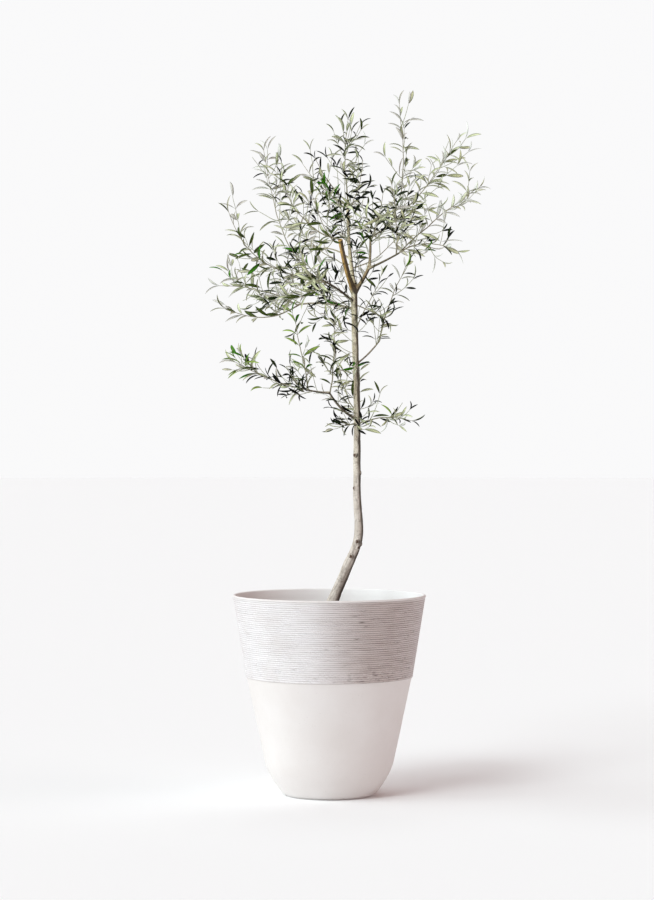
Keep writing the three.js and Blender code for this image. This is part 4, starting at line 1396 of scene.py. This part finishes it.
def make_band():
    """The band's own ring, with ribs whose strength comes and goes"""
    made = make_object("pot_band", *band_ring(), [band_look()])
    points = points_of(made)
    height = points[:, 2]
    distance = np.hypot(points[:, 0], points[:, 1])
    angle = np.arctan2(points[:, 1], points[:, 0])
    outer = distance > band_radius(height) - 0.5
    to_edge = np.minimum(height - BAND_FOOT, POT_HEIGHT - LIP_HEIGHT - height)
    edge = np.clip(to_edge / RIB_PITCH, 0, 1)
    low_part = np.clip((BAND_FOOT + LOW_PART - height) / LOW_PART_FADE, 0, 1)
    groove, chips = ribbing(points, low_part)
    sink = RIB_DEPTH * groove + CHIP_DEPTH * chips
    painted_pit_shade = add_pits(points, angle, distance, sink)
    outward = points * (1, 1, 0) / distance[:, None]
    move_points(made, points - outward * (sink * edge * outer)[:, None])
    # painted light on the band's left front and right
    painted_light = painted_light_share(points, angle)
    # painted shade in the grooves and chips, weaker where light is painted on
    dark = np.clip(groove * GROOVE_PAINTED_SHADE + chips * CHIP_PAINTED_SHADE, 0, 1)
    keep_value(made, "groove", dark * (1 - PAINTED_LIGHT_GROOVE_LOSS * painted_light) * outer)
    keep_value(made, "painted_light", painted_light)
    keep_value(made, "painted_pit_shade", painted_pit_shade * (1 - PAINTED_LIGHT_PIT_LOSS * painted_light) * outer)
    keep_value(made, "wear", low_part * outer)
    return made


# Soil


def soil_profile():
    """The soil's section, up along the pot's wall and in over its surface"""
    edge = SOIL_TOP - SOIL_EDGE_DROP
    edge_radius = band_radius(edge) - WALL - SOIL_GAP
    inside = [(pot_radius(height) - WALL - SOIL_GAP, height) for height in SOIL_WALL_HEIGHTS]
    radii = np.linspace(edge_radius, SOIL_CENTRE, SOIL_RINGS)
    slope = np.clip((radii - SOIL_LEVEL_RADIUS) / (edge_radius - SOIL_LEVEL_RADIUS), 0, 1)
    surface = list(zip(radii, SOIL_TOP - SOIL_EDGE_DROP * slope))
    return [(0, WALL + 1), *inside, (edge_radius, edge - SOIL_EDGE), *surface, (0, SOIL_TOP)]


def make_soil():
    """The soil, whose surface is uneven"""
    vertices, faces = revolve(soil_profile(), SOIL_SIDES, closed=False)
    look = soil_look("soil", (92, 70, 52), (46, 33, 24))
    made = make_object("soil_surface", vertices, faces, [look])
    points = points_of(made)
    on_top = points[:, 2] > SOIL_TOP - SOIL_EDGE_DROP - 1
    rise = waves(points, SOIL_WAVES) * SOIL_BUMP - 1
    points[:, 2] += np.where(on_top, rise, 0)
    move_points(made, points)
    return made


def icosahedron():
    """The corners and faces of a ball with twenty faces"""
    golden = (1 + math.sqrt(5)) / 2
    corners = np.array([
        (-1, golden, 0), (1, golden, 0), (-1, -golden, 0), (1, -golden, 0),
        (0, -1, golden), (0, 1, golden), (0, -1, -golden), (0, 1, -golden),
        (golden, 0, -1), (golden, 0, 1), (-golden, 0, -1), (-golden, 0, 1),
    ]) / math.hypot(1, golden)
    faces = [
        (0, 11, 5), (0, 5, 1), (0, 1, 7), (0, 7, 10), (0, 10, 11),
        (1, 5, 9), (5, 11, 4), (11, 10, 2), (10, 7, 6), (7, 1, 8),
        (3, 9, 4), (3, 4, 2), (3, 2, 6), (3, 6, 8), (3, 8, 9),
        (4, 9, 5), (2, 4, 11), (6, 2, 10), (8, 6, 7), (9, 8, 1),
    ]
    return corners, faces


def crumb_points(ball, stream):
    """The points of one lumpy crumb, somewhere on the soil"""
    reach = band_radius(SOIL_TOP) - WALL
    angle = stream.number() * 2 * math.pi
    distance = math.sqrt(stream.number()) * (reach - CRUMB_MARGIN)
    size = stream.within(CRUMB_SIZE) ** 2 * stream.within(CRUMB_GROWTH)
    shape = np.array([stream.within(limits) for limits in CRUMB_SHAPE])
    lumps = 1 + CRUMB_LUMPS * noise(ball * 3 + stream.number() * 50, 1, 40)
    turn = stream.number() * math.pi
    crumb = ball * lumps[:, None] * shape * size
    spin = np.array([
        [math.cos(turn), math.sin(turn), 0],
        [-math.sin(turn), math.cos(turn), 0],
        [0, 0, 1],
    ])
    sunk = SOIL_EDGE_DROP * max(0, distance - SOIL_LEVEL_RADIUS) / (reach - SOIL_LEVEL_RADIUS)
    place = (distance * math.cos(angle), distance * math.sin(angle), SOIL_TOP - CRUMB_SINK - sunk)
    return crumb @ spin + place


def make_crumbs():
    """Crumbs of soil and bits of bark that lie on the surface"""
    stream = Stream(91)
    ball, ball_faces = icosahedron()
    vertices, faces = joined([(crumb_points(ball, stream), ball_faces) for _ in range(CRUMB_COUNT)])
    looks = [
        soil_look("crumbs_dark", (70, 52, 38), (38, 28, 20)),
        soil_look("crumbs_brown", (128, 98, 70), (84, 60, 42)),
    ]
    shades = [int(stream.number() < PALE_CRUMBS) for _ in range(CRUMB_COUNT)]
    return make_object("soil_crumbs", vertices, faces, looks, np.repeat(shades, len(ball_faces)))


# Bark


def knot_place(trunk, height, turn, outwards):
    """The place in a knot's direction that lies so far outwards of the trunk's skin"""
    share = trunk.share_at_height(height)
    out = np.array([math.cos(math.radians(turn)), math.sin(math.radians(turn)), 0])
    return trunk.at(share) + out * (trunk.radius_at(share) + outwards)


def knot_ball(trunk, height, turn, size):
    centre = knot_place(trunk, height, turn, -size * KNOT_SINK)
    angles = np.linspace(0, math.pi, 9)
    rings = [(size * math.sin(angle), -size * math.cos(angle)) for angle in angles]
    vertices, faces = revolve(rings, 14, closed=False)
    return vertices * (1, 1, KNOT_STRETCH) + centre, faces


def add_knots(points, trunk, relief):
    """Takes the hollow of each knot off the relief, and gives how dark each point is in one"""
    dark = np.zeros(len(points))
    for height, turn, size in KNOTS:
        heart = knot_place(trunk, height, turn, size * KNOT_HEART)
        away = np.linalg.norm((points - heart) * (1, 1, 0.85), axis=1)
        patch = size * (KNOT_PATCH + KNOT_RAGGEDNESS * noise(points, 1.6, 56))
        dark = np.maximum(dark, np.clip((patch - away) / (size * KNOT_FADE), 0, 1))
        relief -= KNOT_HOLLOW_DEPTH * np.exp(-((away / (size * KNOT_HOLLOW_WIDTH)) ** 2))
    return dark


def collar(distance):
    """How a bough swells where it leaves its parent, along its length"""
    return 1 + COLLAR_SWELLING * np.exp(-((distance / COLLAR_LENGTH) ** 2))


def fused(made):
    """Fuses what overlaps into one skin and rounds off the creases"""
    remesh = made.modifiers.new("fuse", "REMESH")
    remesh.mode = "VOXEL"
    remesh.voxel_size = BARK_FACE * MM
    smooth = made.modifiers.new("round", "SMOOTH")
    smooth.factor = 0.5
    smooth.iterations = BARK_SMOOTHING
    graph = bpy.context.evaluated_depsgraph_get()
    skin = bpy.data.meshes.new_from_object(made.evaluated_get(graph))
    made.modifiers.clear()
    made.data = skin
    skin.shade_smooth()
    return made


def bark_relief(local):
    """The height of the bark's relief and how dark its grooves are, at places along the limbs"""
    fissures = 1 - np.abs(noise(local, FISSURE_SIZE, 51))
    fissures = np.clip((fissures - FISSURE_START) / (1 - FISSURE_START), 0, 1) ** FISSURE_POWER
    wrinkles = np.clip(noise(local, WRINKLE_SIZE, 52) - WRINKLE_START, 0, 1)
    relief = LUMP_HEIGHT * noise(local, LUMP_SIZE, 53)
    relief = relief - FISSURE_DEPTH * fissures - WRINKLE_DEPTH * wrinkles
    relief = relief + GRAIN_HEIGHT * noise(local, GRAIN_SIZE, 54)
    grooves = np.clip(fissures * FISSURE_SHADE + wrinkles * WRINKLE_SHADE, 0, 1)
    return relief, grooves * GROOVE_SHADE


def painted_shade_share(points, normals, raggedness):
    """How much painted shade the bark has on its shaded side, from 0 to 1"""
    low, high = (
        np.clip((normals @ np.array(side) + raggedness - start) / span, 0, 1)
        for side, start, span in (LOW_PAINTED_SHADE, HIGH_PAINTED_SHADE)
    )
    change = np.clip((points[:, 2] - PAINTED_SHADE_CHANGE[0]) / np.ptp(PAINTED_SHADE_CHANGE), 0, 1)
    return mix(low, high, change) * PAINTED_SHADE_DARKNESS


def keep_tones(made, limbs, points, along, numbers):
    """Stores how olive, golden and darkened by painted shade each point is; the olive carries painted
    light
    """
    olive_and_painted_light, gold, painted_bough_shade = np.array([BARK_TONES.get(name, (0, 0, 0)) for name in limbs])[numbers].T
    # the pale olive, partly painted light, grows towards the trunk's top
    rise = np.clip((points[:, 2] - OLIVE_AND_PAINTED_LIGHT_START) / (TRUNK_COURSE[-1][2] - OLIVE_AND_PAINTED_LIGHT_START), 0, 1)
    own = np.where(numbers == 0, 0, np.clip(along / TONE_RUN, 0, 1))
    keep_value(made, "olive_and_painted_light", mix(rise, olive_and_painted_light, own))
    keep_value(made, "gold", gold * own)
    keep_value(made, "painted_bough_shade", painted_bough_shade * own)


def bark_skin(limbs):
    """The trunk, the boughs and the knots fused into one skin"""
    trunk = limbs["trunk"]
    boughs = [limb for name, limb in limbs.items() if name != "trunk"]
    pieces = [tube(trunk, TRUNK_SIDES, LIMB_STEP)]
    pieces += [knot_ball(trunk, *knot) for knot in KNOTS]
    pieces += [tube(bough, BOUGH_SIDES, LIMB_STEP, collar) for bough in boughs]
    vertices, faces = joined(pieces)
    return fused(make_object("trunk_bark", vertices, faces, [bark_look()]))


def make_bark(limbs, tree, samples):
    """The skin with the bark's relief, and what its look needs to know at each point"""
    made = bark_skin(limbs)
    points = points_of(made)
    normals = normals_of(made)
    nearest = [tree.find(point)[1] for point in points]
    centres, firsts, seconds, radii, along, numbers = (
        np.array([samples[index][part] for index in nearest]) for part in range(6)
    )
    offset = points - centres
    local = np.stack([(offset * firsts).sum(1), (offset * seconds).sum(1), along], axis=1)
    local[:, 2] += numbers * LIMB_SHIFT
    relief, groove = bark_relief(local)
    # painted shade on the shaded sides of the trunk and boughs, a little ragged
    raggedness = PAINTED_SHADE_RAGGEDNESS * noise(local, (6, 6, 12), 55) + BOUGH_PAINTED_SHADE * (numbers > 0)
    knot = add_knots(points, limbs["trunk"], relief)
    thickness = np.clip(radii / THICK_LIMB, LEAST_RELIEF, 1)
    move_points(made, points + normals * (relief * thickness)[:, None])
    keep_value(made, "groove", groove)
    keep_value(made, "knot", knot)
    keep_tones(made, limbs, points, along, numbers)
    keep_value(made, "painted_side_shade", painted_shade_share(points, normals, raggedness))
    return made


# The camera, the light and the floor


def make_camera():
    """A camera that sees the pot's axis and the horizon where the photograph has them"""
    focal_pixels = CAMERA_DISTANCE / MM_PER_PIXEL
    data = bpy.data.cameras.new("camera")
    data.sensor_width = SENSOR
    data.lens = focal_pixels * SENSOR / PHOTO_HEIGHT
    data.clip_end = 50
    made = bpy.data.objects.new("camera", data)
    down = math.atan((PHOTO_HEIGHT / 2 - HORIZON_PIXEL) / focal_pixels)
    left = math.atan((AXIS_PIXEL - PHOTO_WIDTH / 2) / focal_pixels)
    made.location = (0, -CAMERA_DISTANCE * MM, CAMERA_HEIGHT * MM)
    made.rotation_euler = (math.pi / 2 - down, 0, left)
    bpy.context.scene.collection.objects.link(made)
    bpy.context.scene.camera = made


def make_light(name, left_of_front, elevation, width, strength, tint):
    """A far soft light. width is the angle that it spans in the sky."""
    data = bpy.data.lights.new(name, "SUN")
    data.angle = math.radians(width)
    data.energy = strength * math.pi
    data.color = tint
    made = bpy.data.objects.new(name, data)
    made.rotation_euler = (math.radians(90 - elevation), 0, math.radians(-left_of_front))
    bpy.context.scene.collection.objects.link(made)


def make_world(seen, lighting):
    """A world that lights the scene with one colour and shows another behind it"""
    world = bpy.data.worlds.new("studio")
    world.use_nodes = True
    bpy.context.scene.world = world
    nodes = world.node_tree.nodes
    links = world.node_tree.links
    background = nodes["Background"]
    background.inputs["Color"].default_value = (*lighting, 1)
    backdrop = nodes.new("ShaderNodeBackground")
    backdrop.inputs["Color"].default_value = (*seen, 1)
    path = nodes.new("ShaderNodeLightPath")
    chooser = nodes.new("ShaderNodeMixShader")
    links.new(path.outputs["Is Camera Ray"], chooser.inputs[0])
    links.new(background.outputs[0], chooser.inputs[1])
    links.new(backdrop.outputs[0], chooser.inputs[2])
    links.new(chooser.outputs[0], nodes["World Output"].inputs["Surface"])


def floor_look():
    """A plain matt surface"""
    material = bpy.data.materials.new("floor")
    material.use_nodes = True
    nodes = material.node_tree.nodes
    nodes.remove(nodes["Principled BSDF"])
    matte = nodes.new("ShaderNodeBsdfDiffuse")
    matte.inputs["Color"].default_value = FLOOR_COLOR
    material.node_tree.links.new(matte.outputs["BSDF"], nodes["Material Output"].inputs["Surface"])
    return material


def make_floor():
    """A pale floor that runs out to the horizon, where it meets the backdrop"""
    foot, top = FLOOR_HEIGHTS
    profile = [(0, foot), (FLOOR_RADIUS, foot), (FLOOR_RADIUS, top), (0, top)]
    vertices, faces = revolve(profile, 96, closed=False)
    made = make_object("floor", vertices, faces, [floor_look()])
    made.data.shade_flat()


def make_studio():
    make_camera()
    make_floor()
    make_world(BACKDROP, STUDIO_LIGHT)
    for name, light in LIGHTS.items():
        make_light(name, *light)
    bpy.context.scene.view_settings.view_transform = "Standard"


# The whole plant


def present(made, replaced):
    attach(made, BODY)
    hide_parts(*replaced)


def make_pot():
    present(make_bowl(), ["pot"])
    present(make_band(), ["pot"])
    present(make_soil(), ["soil"])
    present(make_crumbs(), ["soil"])


def grow_foliage(limbs):
    """The stems of the masses, and all their shoots, sprigs and leaves"""
    stems = {}
    shoots = []
    leaves = []
    for name, row in MASSES.items():
        stems[name], found_shoots, found_leaves = grow_mass(Mass(*row), limbs)
        shoots += found_shoots
        leaves += found_leaves
    hosts = {**limbs, **stems}
    for tone, seed, sprigs in (
        (None, SPRIG_SEED, SPRIGS),
        ("leaves_deep", DEEP_SEED, DEEP_PAINTED_SHADE_SPRIGS),
        ("leaves_fresh", FRESH_SEED, FRESH_SPRIGS),
    ):
        for number, sprig in enumerate(sprigs, seed):
            twig, found_leaves = grow_sprig(sprig, number, hosts, tone)
            shoots.append(twig)
            leaves += found_leaves
    return list(stems.values()), shoots, leaves


def make_twigs(name, twigs):
    vertices, faces = joined([tube(twig, TWIG_SIDES, TWIG_STEP) for twig in twigs])
    return make_object(name, vertices, faces, [twig_look(name, *TWIG_TONES[name])])


def make_tree():
    """The bark over the trunk and boughs, the twigs, and the leaves of each tone"""
    limbs = {"trunk": trunk_limb()}
    for name, bough in BOUGHS.items():
        limbs[name] = bough_limb(bough, limbs)
    tree, samples = limb_tree(limbs)
    present(make_bark(limbs, tree, samples), limbs)
    stems, shoots, leaves = grow_foliage(limbs)
    present(make_twigs("twigs_brown", stems), MASSES)
    present(make_twigs("twigs_green", shoots), MASSES)
    clear = [leaf for leaf in leaves if is_clear(leaf, tree, samples)]
    for tone, (*_, upper, under) in LEAF_TONES.items():
        looks = [
            leaf_look(tone + "_upper", upper, UPPER_ROUGHNESS),
            leaf_look(tone + "_under", under, UNDER_ROUGHNESS),
        ]
        of_tone = [leaf for leaf in clear if leaf["tone"] == tone]
        present(make_leaves(tone, of_tone, looks), MASSES)


make_studio()
make_pot()
make_tree()
